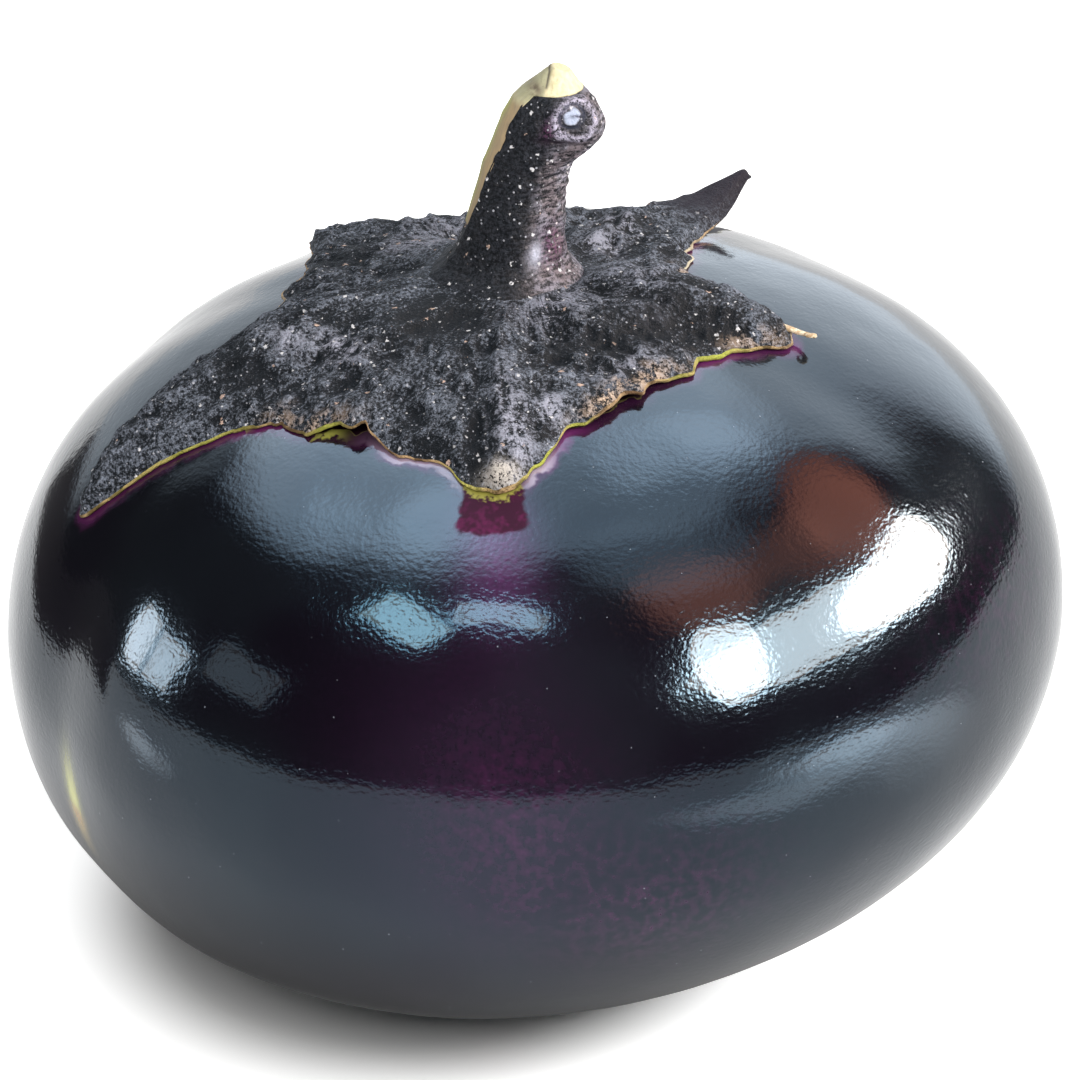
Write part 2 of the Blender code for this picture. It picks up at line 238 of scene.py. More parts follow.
# The stem's painted highlight and its plum tinge: azimuth, share of its height, half widths of both, strength
STEM_PAINTED_HIGHLIGHT = ((27, 0.18, 8, 0.055, 0.9),)
STEM_PLUM = ((50, 0.20, 18, 0.10, 1.0), (10, 0.86, 9, 0.06, 0.8))

# The bared wood: a peeled strip down the far left of the stem, and the torn wedge above it
WOOD_AZIMUTH = -96.0
STRIP_CUT_START, STRIP_START = 0.20, 0.27
STRIP_DEPTH, STRIP_DEEPENS = 1.4 * MM, 0.5
WOOD_HIGH, WOOD_LOW = 2.7 * MM, 2.1 * MM
WOOD_TAPER, WOOD_SHIFT = 0.70, 0.9 * MM
FACING = 0.2
STRIP_SUNK = 0.25 * MM
WOOD_SIDES, STRIP_RINGS, WEDGE_RINGS, TOP_RINGS = 120, 90, 24, 12
# How far the calyx and the stem's foot are sunk into each other, and the bud scar's place on the stem
SEAT_SUNK = 0.10 * MM
SCAR_AZIMUTH, SCAR_SHARE = 37.0, 0.90

# The camera: how steeply it looks down, how far it stands and where it aims beside the fruit's middle
CAMERA_DOWN = math.radians(28)
CAMERA_DISTANCE = 480 * MM
CAMERA_RIGHT, CAMERA_UP = 1.47 * MM, 6.52 * MM
CAMERA_LENS, SENSOR_WIDTH = 134.2, 36.0


def turn_between(azimuth, middle):
    """The turn from middle to azimuth, between -180 and 180."""
    return (azimuth - middle + 180.0) % 360.0 - 180.0


def bell(offset, width):
    """1 at no offset, falling off smoothly over the width."""
    return np.exp(-((offset / width) ** 2))


def smooth_step(share):
    """Rises from 0 to 1 as the share does, level at both ends."""
    share = np.clip(share, 0, 1)
    return share * share * (3 - 2 * share)


def leaned(x, y, z):
    """A point of the upright fruit, once the fruit leans its stem end towards -X."""
    cosine, sine = math.cos(LEAN), math.sin(LEAN)
    return np.stack([cosine * x - sine * z, y, sine * x + cosine * z], axis=-1)


def patches(polar, azimuth, places):
    """What a table of patches adds up to: azimuth, polar or share, half widths of both, strength."""
    total = 0.0
    for middle, down, width, reach, strength in places:
        total = total + strength * bell(turn_between(azimuth, middle), width) * bell(polar - down, reach)
    return total


def skin(polar, azimuth, proud=0.0):
    """Points on the fruit's skin about the fruit's middle, raised off it by proud."""
    sine, cosine = np.sin(np.radians(polar)), np.cos(np.radians(polar))
    east, front = np.sin(np.radians(azimuth)), np.cos(np.radians(azimuth))
    side, up = sine * east, cosine
    swell = 1 + SIDE_BULGE * (side**3 - 3 * side * up**2) + END_BULGE * (up**3 - 3 * up * side**2)
    swell = swell + SHOULDER_RISE * bell(polar - SHOULDER_POLAR, SHOULDER_REACH)
    swell = swell - patches(polar, azimuth, GROOVES)
    radius = HALF_WIDTH * np.abs(sine) ** FULLNESS * swell
    height = HALF_HEIGHT * np.sign(cosine) * np.abs(cosine) ** FULLNESS * swell
    height = height - DIMPLE_DEPTH * bell(radius, DIMPLE_RADIUS) * (up > 0)
    slope_out, slope_up = sine / HALF_WIDTH, cosine / HALF_HEIGHT
    length = np.hypot(slope_out, slope_up)
    radius = radius + proud * slope_out / length
    height = height + proud * slope_up / length
    return leaned(radius * east, -radius * front, height)


def lowest_point():
    """The lowest point of the leaning fruit, before its foot is pressed flat."""
    polar, azimuth = np.meshgrid(np.linspace(150, 180, 121), np.arange(0, 360, 3.0))
    points = skin(polar, azimuth).reshape(-1, 3)
    return points[points[:, 2].argmin()]


def foot_polar(azimuth, floor):
    """The polar angle at which the skin meets the floor height, for each azimuth, by halving."""
    high = np.full(azimuth.shape, 130.0)
    low = np.full(azimuth.shape, 180.0)
    for _ in range(40):
        middle = (high + low) / 2
        above = skin(middle, azimuth)[:, 2] > floor
        high = np.where(above, middle, high)
        low = np.where(above, low, middle)
    return high


FLOOR = lowest_point()[2] + FOOT_PRESS


def foot_middle():
    """The middle of the pressed flat spot, about the fruit's middle."""
    azimuth = np.arange(0, 360, 5.0)
    rim = skin(foot_polar(azimuth, FLOOR), azimuth)
    middle = (rim.min(axis=0) + rim.max(axis=0)) / 2
    return np.array([middle[0], middle[1], FLOOR])


ORIGIN = foot_middle()


def placed(points):
    """Points about the fruit's middle, moved so that the origin is the middle of the flat spot."""
    return points - ORIGIN


class Relief:
    """Smooth seeded unevenness in space, between -1 and 1, with lumps of one size."""

    CELLS = 32

    def __init__(self, seed, size):
        self.grid = np.random.default_rng(seed).uniform(-1, 1, (self.CELLS,) * 3)
        self.size = size

    def at(self, points):
        """The unevenness at each point."""
        cell = points / self.size
        low = np.floor(cell).astype(int)
        part = smooth_step(cell - low)
        total = 0.0
        for corner in itertools.product((0, 1), repeat=3):
            i, j, k = np.moveaxis((low + corner) % self.CELLS, -1, 0)
            weight = np.prod(np.where(corner, part, 1 - part), axis=-1)
            total = total + weight * self.grid[i, j, k]
        return total


def wrinkled(relief, points):
    """Creased unevenness between about -1 and 1: sharp ridges with round hollows between them."""
    return 1 - 4 * np.abs(relief.at(points))


class Rings:
    """A piece's rings of points, and the values that it holds at them, under their names."""

    def __init__(self):
        self.points = []
        self.painted = {}

    def add(self, points, **values):
        """Adds a ring. A single value holds for all of it."""
        self.points.append(points)
        for name, value in values.items():
            shape = (len(points), *np.shape(value)[1:])
            self.painted.setdefault(name, []).append(np.broadcast_to(value, shape).astype(float))


def add_object(name, data):
    """A new object in the scene."""
    made = bpy.data.objects.new(name, data)
    bpy.context.scene.collection.objects.link(made)
    return made


def grid_piece(name, rings, finish, node=None, painted=None):
    """A closed piece from rings of points. Painted holds values for each point, under their names."""
    count = len(rings[0])
    vertices = np.concatenate(rings)
    total = len(rings)
    i, j = np.meshgrid(np.arange(total - 1), np.arange(count), indexing="ij")
    k = (j + 1) % count
    quads = np.stack([i * count + j, (i + 1) * count + j, (i + 1) * count + k, i * count + k], axis=-1)
    faces = quads.reshape(-1, 4).tolist()
    faces.append(list(range(count)))
    faces.append([(total - 1) * count + item for item in reversed(range(count))])
    mesh = bpy.data.meshes.new(name)
    mesh.from_pydata(vertices.tolist(), [], faces)
    mesh.shade_smooth()
    for title, values in (painted or {}).items():
        values = np.concatenate(values).astype(np.float32)
        kind, key = ("FLOAT", "value") if values.ndim == 1 else ("FLOAT_VECTOR", "vector")
        layer = mesh.attributes.new(title, kind, "POINT")
        layer.data.foreach_set(key, values.ravel())
    mesh.materials.append(finish)
    piece = add_object(name, mesh)
    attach(piece, "root")
    if node:
        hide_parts(node)
    return piece


class Number:
    """A number that a finish works out over its surface. Sums on it add the nodes that work them out."""

    def __init__(self, nodes, socket):
        self.nodes = nodes
        self.socket = socket

    def sum(self, operation, *others):
        """One Math node's result."""
        values = dict(enumerate((self,) + others))
        made = self.nodes.node("ShaderNodeMath", {"operation": operation}, values)
        return Number(self.nodes, made.outputs[0])

    def __add__(self, other):
        return self.sum("ADD", other)

    __radd__ = __add__

    def __mul__(self, other):
        return self.sum("MULTIPLY", other)

    __rmul__ = __mul__

    def __sub__(self, other):
        return self.sum("SUBTRACT", other)

    def __rsub__(self, other):
        return self * -1 + other

    def __truediv__(self, other):
        return self.sum("DIVIDE", other)

    def __pow__(self, other):
        return self.sum("POWER", other)

    def clipped(self):
        """The number, kept between 0 and 1."""
        return self.sum("MAXIMUM", 0.0).sum("MINIMUM", 1.0)

    def between(self, low, high):
        """0 up to low, rising smoothly to 1 at high. High may be below low."""
        share = ((self - low) / (high - low)).clipped()
        return share * share * (3 - 2 * share)


class Nodes:
    """The nodes of one finish or of the room, and the numbers and colours that they work out."""

    def __init__(self, owner):
        owner.use_nodes = True
        self.tree = owner.node_tree
        self.tree.nodes.clear()
        self.places = self.node("ShaderNodeTexCoord").outputs
        self.place = self.places["Object"]

    def node(self, kind, settings=None, inputs=None):
        """A node of this kind, with its settings made first, then its sockets' values or links."""
        made = self.tree.nodes.new(kind)
        for name, value in (settings or {}).items():
            setattr(made, name, value)
        for name, value in (inputs or {}).items():
            self.feed(made.inputs[name], value)
        return made

    def feed(self, socket, value):
        """Gives a socket a link or a value. A colour has three values."""
        if isinstance(value, Number):
            value = value.socket
        if isinstance(value, bpy.types.NodeSocket):
            self.tree.links.new(value, socket)
        elif socket.type == "RGBA":
            socket.default_value = (*value, 1.0)
        else:
            socket.default_value = value

    def vector(self, operation, *values):
        """One Vector Math node."""
        return self.node("ShaderNodeVectorMath", {"operation": operation}, dict(enumerate(values)))

    def along(self, place, direction):
        """How far a place lies along a direction."""
        return Number(self, self.vector("DOT_PRODUCT", place, direction).outputs["Value"])

    def blend(self, factor, first, second):
        """A colour between two colours."""
        values = {0: factor, 6: first, 7: second}
        return self.node("ShaderNodeMix", {"data_type": "RGBA"}, values).outputs[2]

    def layered(self, base, *layers):
        """A colour under some layers. Each has how much it covers, and its colour."""
        for factor, over in layers:
            base = self.blend(factor, base, over)
        return base

    def scaled(self, tint, brightness):
        """A colour times a number."""
        made = self.node("ShaderNodeVectorMath", {"operation": "SCALE"}, {0: tint, "Scale": brightness})
        return made.outputs[0]

    def together(self, *colours):
        """The sum of some colours."""
        total = colours[0]
        for item in colours[1:]:
            total = self.vector("ADD", total, item).outputs[0]
        return total


class Finish(Nodes):
    """One procedural finish."""

    def __init__(self, name):
        self.material = bpy.data.materials.new(name)
        super().__init__(self.material)
        self.shader = self.node("ShaderNodeBsdfPrincipled")
        self.output = self.node("ShaderNodeOutputMaterial", inputs={"Surface": self.shader.outputs["BSDF"]})

    def set(self, **values):
        """Sets or links the shader's sockets, named with _ for a space."""
        for name, value in values.items():
            self.feed(self.shader.inputs[name.replace("_", " ")], value)

    def overlaid(self, factor, **values):
        """Covers the shader with a second, dull one where the factor is 1."""
        dull = self.node("ShaderNodeBsdfPrincipled", inputs={"Specular IOR Level": 0.08})
        for name, value in values.items():
            self.feed(dull.inputs[name.replace("_", " ")], value)
        shaders = {0: factor, 1: self.shader.outputs["BSDF"], 2: dull.outputs["BSDF"]}
        self.feed(self.output.inputs["Surface"], self.node("ShaderNodeMixShader", inputs=shaders).outputs[0])

    def painted(self, name):
        """A value that the piece holds at its points."""
        made = self.node("ShaderNodeAttribute", {"attribute_name": name})
        return Number(self, made.outputs["Fac"])

    def held(self, name):
        """A place that the piece holds at its points."""
        return self.node("ShaderNodeAttribute", {"attribute_name": name}).outputs["Vector"]

    def noise(self, size, detail=2.0, stretch=None, place=None):
        """Cloudy unevenness about 0.5, with features of this size in metres."""
        place = place or self.place
        if stretch:
            place = self.vector("MULTIPLY", place, stretch).outputs[0]
        made = self.node(
            "ShaderNodeTexNoise",
            {"noise_dimensions": "3D"},
            {"Vector": place, "Scale": 1 / size, "Detail": detail},
        )
        return Number(self, made.outputs["Fac"])

    def dots(self, spacing, radius, share, seed=0.0, ragged=0.0):
        """Specks of about this radius, in this share of the cells of this spacing, ragged or round."""
        moved = self.vector("ADD", self.place, (seed, seed, seed)).outputs[0]
        if ragged:
            cloudy = {"Vector": self.place, "Scale": 1 / radius, "Detail": 1.0}
            stray = self.node("ShaderNodeTexNoise", inputs=cloudy)
            moved = self.together(moved, self.scaled(stray.outputs["Color"], ragged * radius))
        cells = self.node(
            "ShaderNodeTexVoronoi",
            {"feature": "F1"},
            {"Vector": moved, "Scale": 1 / spacing, "Randomness": 1.0},
        )
        parts = self.node("ShaderNodeSeparateColor", inputs={"Color": cells.outputs["Color"]})
        chance = Number(self, parts.outputs["Red"])
        size = Number(self, parts.outputs["Green"]) * 0.7 + 0.3
        near = (size * (radius / spacing) - Number(self, cells.outputs["Distance"])) * (3 * spacing / radius)
        return near.clipped() * chance.between(1 - share - 0.01, 1 - share + 0.01)

    def bumped(self, height, depth):
        """Raises the surface by a number between 0 and 1, times this depth in metres."""
        bump = self.node("ShaderNodeBump", inputs={"Strength": 1.0, "Distance": depth, "Height": height})
        self.set(Normal=bump.outputs["Normal"])


def measure(name, description, default, precision=5):
    """A property that is a length."""
    named = {"name": name, "description": description, "default": default}
    return FloatProperty(**named, unit="LENGTH", precision=precision)


def whole(name, description, default, low, high):
    """A property that is a whole number."""
    return IntProperty(name=name, description=description, default=default, min=low, max=high)


def paint(name, description, default):
    """A property that is a colour."""
    return FloatVectorProperty(name=name, description=description, default=default, subtype="COLOR")


class EGGPLANT_PG_fruit(bpy.types.PropertyGroup):
    """Sizes and colours of the fruit."""

    segments: whole("Segments", "Faces round the fruit", 440, 48, 440)
    rings: whole("Rings", "Faces from stem end to foot", 220, 32, 224)
    dents: measure("Dents", "Depth of the skin's soft dents", 0.10 * MM)
    pores: measure("Pores", "Depth of the skin's fine bumps", 0.035 * MM, 6)
    roughness: FloatProperty(
        name="Roughness", description="Dullness of the skin", default=0.085, subtype="FACTOR"
    )
    skin: paint("Skin", "Black-purple of the skin", (0.0035, 0.0022, 0.0045))
    slate: paint("Slate", "Grey-blue bloom on the skin", (0.0055, 0.0062, 0.0085))
    blush: paint("Blush", "Magenta where the skin is thin", (0.060, 0.010, 0.045))
    pale: paint("Pale", "Unripe green-yellow of the scar", (0.62, 0.62, 0.16))


class EGGPLANT_PG_calyx(bpy.types.PropertyGroup):
    """Sizes and colours of the calyx."""

    segments: whole("Segments", "Faces round the calyx", 900, 160, 1100)
    rings: whole("Rings", "Faces from stem to edge", 72, 12, 80)
    relief: measure("Relief", "Height of its wrinkles", 0.46 * MM)
    ragged: measure("Ragged edge", "How far the torn edge strays", 0.6 * MM)
    thread: measure("Thread", "Thickness of the dry thread", 0.36 * MM)
    leaf: paint("Leaf", "Charcoal of the leaf", (0.005, 0.007, 0.010))
    # Colours the lilac on the crests and lit faces, partly the leaf's bloom and partly a painted highlight
    bloom: paint("Bloom", "Lilac-grey of its ridges", (0.44, 0.44, 0.53))
    rim: paint("Rim", "Tan dry rim", (0.52, 0.34, 0.18))
    fresh: paint("Fresh rim", "Yellow-green of the rim", (0.46, 0.48, 0.08))


class EGGPLANT_PG_stem(bpy.types.PropertyGroup):
    """Sizes and colours of the stem and its bared wood."""

    segments: whole("Segments", "Faces round the stem", 200, 36, 256)
    rings: whole("Rings", "Faces up the stem", 170, 22, 220)
    relief: measure("Relief", "Height of its wrinkles", 0.16 * MM)
    scar: measure("Scar", "Radius of the bud scar's ring", 2.0 * MM)
    rind: paint("Rind", "Dark rind", (0.004, 0.005, 0.007))
    lilac: paint("Lilac", "Lilac bloom of the rind", (0.36, 0.33, 0.39))
    wood: paint("Wood", "Cream cut wood", (0.74, 0.67, 0.43))
    strip: paint("Strip", "Tan peeled strip", (0.42, 0.30, 0.16))


class EGGPLANT_PG_stage(bpy.types.PropertyGroup):
    """The studio round the eggplant."""

    floor: paint("Floor", "Pale floor", (0.93, 0.93, 0.93))
    mirrored: paint("Mirrored floor", "Floor that the skin mirrors", (0.95, 0.95, 0.95))
    light: FloatProperty(name="Light", description="Brightness of all the lights", default=1.0, min=0.0)


def skin_finish(settings):
    """Glossy waxy skin: black-purple with a slate bloom, magenta blushes, pale scars, dust and fine bumps."""
    made = Finish("glossy_skin")
    cloud = made.noise(18 * MM, 1.5)
    grain = made.noise(0.45 * MM, 1.0)
    blotch = made.noise(1.1 * MM, 2.5).between(0.36, 0.72) * (0.3 + 0.8 * grain)
    base = made.layered(
        settings.skin,
        (cloud.between(0.35, 0.7), settings.slate),
        ((made.painted("blush") * blotch).clipped(), settings.blush),
        (made.painted("streak") * (0.35 + grain), (0.085, 0.022, 0.085)),
    )
    scar = made.painted("scar")
    dust = made.dots(1.3 * MM, 0.10 * MM, 0.45) * 0.6
    base = made.layered(
        near_calyx(made, base, grain),
        (scar, settings.pale),
        (scar * made.painted("rusty"), (0.35, 0.13, 0.04)),
        (dust, (0.3, 0.32, 0.36)),
    )
    made.set(
        Base_Color=base,
        Roughness=settings.roughness + 0.06 * cloud + 0.3 * dust,
        IOR=1.5,
        Specular_IOR_Level=0.50,
        Specular_Tint=(0.46, 0.74, 1.0),
        Coat_Weight=0.22,
        Coat_Roughness=0.04,
        Coat_IOR=1.5,
    )
    ripple = made.noise(0.95 * MM, 1.5, (1.0, 1.0, 1.9))
    made.bumped(0.75 * ripple + 0.55 * grain, settings.pores)
    return made.material


def near_calyx(made, base, grain):
    """The skin beside the calyx: a purple line, a lilac band and yellow-green shreds, then the tongue and the
    painted shadow under the edge.
    """
    torn = made.noise(1.8 * MM, 2.0).between(0.35, 0.65)
    gap = made.painted("edge_gap") + 0.5 * torn
    shreds = made.painted("shreds") * torn.between(0.3, 0.6)
    add_tongue(made, gap, torn, grain)
    return made.layered(
        base,
        (made.painted("halo") * gap.between(2.0, 0.5), (0.12, 0.018, 0.10)),
        (made.painted("band") * gap.between(1.25, 0.75), (0.60, 0.52, 0.62)),
        (shreds * gap.between(1.1, 0.7), (0.50, 0.50, 0.10)),
    )


def add_tongue(made, gap, torn, grain):
    """The dull maroon tongue below the front lobe, with mottled flesh at its top, and the painted shadow,
    dark and dull, on the skin under the calyx's edge. It counts in mm.
    """
    tip = placed(skin(TONGUE_END, TONGUE_AZIMUTH)) / MM
    across = made.along(made.place, (1 / MM, 0, 0)) - float(tip[0])
    forward = made.along(made.place, (0, -1 / MM, 0)) + float(tip[1])
    end = (forward + TONGUE_ROUND * across * across + 0.4 * torn).between(0.5, -0.1)
    half = TONGUE_HALF + 0.16 * forward + 0.5 * torn
    sides = (half - (across * across) ** 0.5).between(-0.2, 0.5)
    tongue = end * sides * (forward + TONGUE_LONG).between(-1.0, 0.0)
    depth = torn * 0.6 + grain * 0.4 + 0.12 * forward
    # Painted shadow: the skin under the calyx's edge is painted dark and dull
    painted_shadow_under_edge = gap.between(-0.2, -0.5)
    wine = made.layered(
        (0.030, 0.002, 0.016),
        (depth.between(0.1, 0.9), (0.095, 0.006, 0.05)),
        (
            (gap + 1.6 * grain).between(2.0, 1.2),
            made.blend(gap.between(1.0, 1.6), (0.30, 0.28, 0.06), (0.20, 0.08, 0.04)),
        ),
        (painted_shadow_under_edge, (0.012, 0.003, 0.008)),
    )
    made.overlaid(tongue.sum("MAXIMUM", painted_shadow_under_edge), Base_Color=wine, Roughness=0.5)


def mottled(made):
    """The leaf's and the rind's fine grain, between 0 and 1."""
    return made.noise(0.38 * MM, 3.0) * 0.6 + made.noise(0.17 * MM, 2.0) * 0.4


def flecked(made, base, shown):
    """The corky flecks that the leaf and the rind share: pale ones, and tan ones here and there."""
    return made.layered(
        base,
        (made.dots(1.15 * MM, 0.28 * MM, 0.60, ragged=2.0) * shown, (0.72, 0.70, 0.72)),
        (made.dots(0.62 * MM, 0.17 * MM, 0.45, 0.53) * shown * 0.7, (0.54, 0.54, 0.60)),
        (made.dots(2.1 * MM, 0.34 * MM, 0.50, 0.37, 2.5) * shown, (0.66, 0.47, 0.38)),
    )


def calyx_finish(settings):
    """Rough leaf: mottled charcoal, lilac on its crests and lit faces, partly its bloom and partly a painted
    highlight, painted shade in its folds, hollows and underside, corky flecks and a dry edge.
    """
    made = Finish("rough_leaf")
    cloud = made.noise(5 * MM, 3.0)
    patch = made.noise(1.6 * MM, 3.0)
    grain = mottled(made)
    streaks = made.noise(0.55 * MM, 3.0, place=made.held("fan"))
    height = made.painted("ridge") - 0.5
    # Painted shade and light: the tone darkens in the hollows and the dark patches, and lightens on the
    # crests, by the relief's height
    tone = grain * 0.8 + streaks * 0.2 + height * 0.13 + (cloud - 0.5) * 0.12 - made.painted("dark") * 0.12
    # Painted highlight: lilac where the pale patches lie on the lit faces, partly the leaf's own bloom
    light = (streaks * 0.5 + grain * 0.5 + height * 0.15).between(0.42, 0.58) * made.painted("pale")
    crumb = (made.painted("crumb") * (patch * 0.5 + grain * 0.5).between(0.46, 0.54)).clipped()
    cork = made.painted("cork") * grain.between(0.38, 0.48)
    base = made.layered(
        settings.leaf,
        (tone.between(0.43, 0.67), (0.24, 0.265, 0.325)),
        (light.clipped(), settings.bloom),
    )
    dry = made.layered(
        (0.14, 0.08, 0.04),
        (patch.between(0.40, 0.60), settings.rim),
        (made.painted("fresh") * (0.5 + patch).clipped(), settings.fresh),
        (made.painted("cream"), (0.78, 0.68, 0.50)),
    )
    base = made.layered(
        flecked(made, base, 1.0),
        (crumb, (0.80, 0.58, 0.43)),
        (cork, (0.62, 0.56, 0.50)),
        (made.painted("blade"), (0.015, 0.012, 0.020)),
        ((made.painted("rim") * (0.5 + grain)).between(0.35, 0.65), dry),
    )
    made.set(Base_Color=base, Roughness=0.66 - 0.15 * light, IOR=1.45, Specular_IOR_Level=0.12)
    made.bumped(grain * 0.7 + streaks * 0.3 + crumb * 0.5 + cork * 0.3, 0.80 * MM)
    return made.material


def stem_finish(settings):
    """The stem's rind: nearly black and flecked, with the bud scar; lilac, brown and more flecks on its lit
    side, partly its bloom and partly painted light, and a painted highlight low on its front right.
    """
    made = Finish("speckled_rind")
    grain = mottled(made)
    cloud = made.noise(2.6 * MM, 3.0)
    wrinkle = made.noise(0.50 * MM, 3.0, (0.45, 0.45, 1.6))
    # bloom is the lit side: lilac and flecks that are partly the rind's bloom and partly painted light
    bloom, shown = made.painted("bloom"), 1.0 - made.painted("scar_disc")
    tone = (grain * 0.5 + wrinkle * 0.5).between(0.40, 0.62)
    base = made.layered(
        settings.rind,
        (grain.between(0.42, 0.64), (0.024, 0.028, 0.036)),
        (bloom * tone, made.blend(cloud.between(0.42, 0.58), settings.lilac, (0.27, 0.22, 0.24))),
        (made.painted("plum") * grain.between(0.42, 0.58) * 0.7, (0.15, 0.028, 0.11)),
        # Painted highlight: a pale lilac-white patch low on the stem's front right
        (made.painted("haze") * (0.4 + grain), (0.66, 0.66, 0.78)),
    )
    base = made.layered(
        flecked(made, base, shown),
        (made.dots(0.95 * MM, 0.22 * MM, 0.7, 0.19) * bloom * shown, (0.78, 0.70, 0.71)),
        (made.painted("scar_ring") * grain.between(0.36, 0.62), (0.50, 0.46, 0.58)),
        (made.painted("scar_dark") * 0.85, (0.03, 0.035, 0.06)),
        (made.painted("scar_disc") * 0.8, (0.44, 0.50, 0.64)),
        (made.painted("fold"), (0.012, 0.008, 0.014)),
    )
    made.set(Base_Color=base, Roughness=0.62 - 0.15 * bloom, IOR=1.45, Specular_IOR_Level=0.12)
    made.bumped(grain * 0.6 + wrinkle * 0.4, 0.30 * MM)
    return made.material


def wood_finish(settings):
    """Bared wood: cream on the torn wedge with an olive flap, tan down the strip with a green outer line."""
    made = Finish("bared_wood")
    fibre = made.noise(0.5 * MM, 3.0, (1.0, 1.0, 0.16))
    cloud = made.noise(1.8 * MM, 2.0)
    lines = fibre.between(0.3, 0.7)
    base = made.layered(
        settings.strip,
        (lines, (0.36, 0.27, 0.16)),
        (made.painted("green"), (0.42, 0.44, 0.13)),
        (made.painted("cut"), made.blend(lines, settings.wood, (0.67, 0.58, 0.33))),
        (made.painted("flap") * (0.6 + 0.4 * cloud), (0.38, 0.37, 0.22)),
        (made.painted("brown") * cloud.between(0.3, 0.5), (0.09, 0.05, 0.03)),
        (made.painted("seam"), (0.06, 0.05, 0.03)),
    )
    made.set(Base_Color=base, Roughness=0.62 + 0.15 * fibre, IOR=1.45)
    made.bumped(fibre, 0.20 * MM)
    return made.material


def thread_finish(settings):
    """The dried thread at the right lobe's tip: tan and papery."""
    made = Finish("dry_thread")
    fibre = made.noise(0.4 * MM, 2.0)
    base = made.blend(fibre.between(0.35, 0.65), settings.rim, (0.78, 0.68, 0.50))
    made.set(Base_Color=base, Roughness=0.6 + 0.2 * fibre)
    made.bumped(fibre, 0.15 * MM)
    return made.material


# Painted pools of light on the floor where the windows would light it, seen only in the skin: middle,
# direction, half length, half width, light
PAINTED_LIGHT_POOLS = (
    (0.430, -0.230, -25.0, 0.300, 0.130, 6.5),
    (0.280, -0.090, -20.0, 0.180, 0.080, 2.4),
    (0.160, -0.165, 45.0, 0.100, 0.060, 1.8),
    (-0.260, -0.050, -8.0, 0.110, 0.040, 2.4),
)
# The floor's glow, which keeps its shadow close to the fruit: middle, where it starts and ends, light
SHADOW_MIDDLE, SHADOW_FADE, FLOOR_GLOW = (-4.5 * MM, -5.5 * MM), (29 * MM, 46 * MM), 0.8
# Where the mirrored floor's painted shadow below the object fades out: its start and end
MIRRORED_FADE = (30 * MM, 85 * MM)


def floor_finish(name, pale, uneven, **values):
    """A matt, faintly uneven floor with a glow of its own, and the colour of its ground."""
    made = Finish(name)
    cloud = made.noise(0.08, 2.0)
    ground = made.blend(cloud, pale, tuple(uneven * part for part in pale))
    made.set(Roughness=0.55 + 0.05 * cloud, Emission_Strength=1.0, **values)
    made.material.cycles.emission_sampling = "NONE"
    return made, ground


def pale_finish(settings):
    """The pale studio floor, which glows outside the object's shadow."""
    made, ground = floor_finish("pale_floor", settings.floor, 0.985, Specular_IOR_Level=0.1)
    glow = from_shadow(made).between(*SHADOW_FADE) * FLOOR_GLOW
    made.set(Base_Color=ground, Emission_Color=made.scaled(WHITE, glow))
    return made.material


def from_shadow(made):
    """How far the floor is from the middle of the shadow."""
    x, y = SHADOW_MIDDLE
    offset = made.vector("SUBTRACT", made.place, (x, y, 0.0)).outputs[0]
    return Number(made, made.vector("LENGTH", offset).outputs["Value"])


def mirrored_finish(settings):
    """The floor as the skin mirrors it, all painted light: greyer, with a painted shadow below the object and
    painted pools of light beside it.
    """
    made, ground = floor_finish("mirrored_floor", settings.mirrored, 0.97, Specular_IOR_Level=0.0)
    open_floor = 0.10 + 1.15 * from_shadow(made).between(*MIRRORED_FADE)
    pools = 0.0
    for x, y, turn, length, width, bright in PAINTED_LIGHT_POOLS:
        moved = made.vector("SUBTRACT", made.place, (x, y, 0.0)).outputs[0]
        cosine, sine = math.cos(math.radians(turn)), math.sin(math.radians(turn))
        far = made.along(moved, (cosine / length, sine / length, 0.0)) ** 2
        wide = made.along(moved, (-sine / width, cosine / width, 0.0)) ** 2
        pools = pools + bright * (1 - (far + wide) ** 0.5).between(0.0, 0.7)
    light = made.together(made.scaled(ground, open_floor), made.scaled(WHITE, pools))
    made.set(Base_Color=(0.0, 0.0, 0.0), Emission_Color=light)
    return made.material


def lobe(turn, reach, spread, blunt):
    """A lobe's extra reach at a turn from its tip: rounded at the tip, then falling off."""
    away = np.hypot(turn, blunt) - blunt
    return reach * np.exp(-away / spread)


def edge_polar(azimuth):
    """How far the calyx comes down at each azimuth, as a polar angle."""
    edge = np.zeros_like(azimuth)
    count = len(SEPALS)
    for i, notch in enumerate(NOTCHES):
        first, second = SEPALS[i], SEPALS[(i + 1) % count]
        gap = (second[0] - first[0]) % 360.0
        after = (azimuth - first[0]) % 360.0
        within = after < gap
        down = notch + lobe(after, first[1] - notch, first[3], first[4])
        down = down + lobe(gap - after, second[1] - notch, second[2], second[4])
        edge = np.where(within, down, edge)
    for waves, swing, start in EDGE_WAVES:
        edge = edge + swing * np.sin(np.radians(waves * azimuth + start))
    return edge


def torn_edge(azimuth, ragged):
    """The calyx's edge with its tears and its fine raggedness, which strays by up to ragged."""
    edge = edge_polar(azimuth) + along_edge(azimuth, TEARS)
    points = skin(edge, azimuth)
    stray = 0.55 * Relief(11, 2.4 * MM).at(points) + 0.45 * Relief(12, 0.8 * MM).at(points)
    for middle, width, share in CALM_EDGE:
        stray = stray * (1 - share * bell(turn_between(azimuth, middle), width))
    return edge + np.degrees(ragged * stray / HALF_WIDTH)


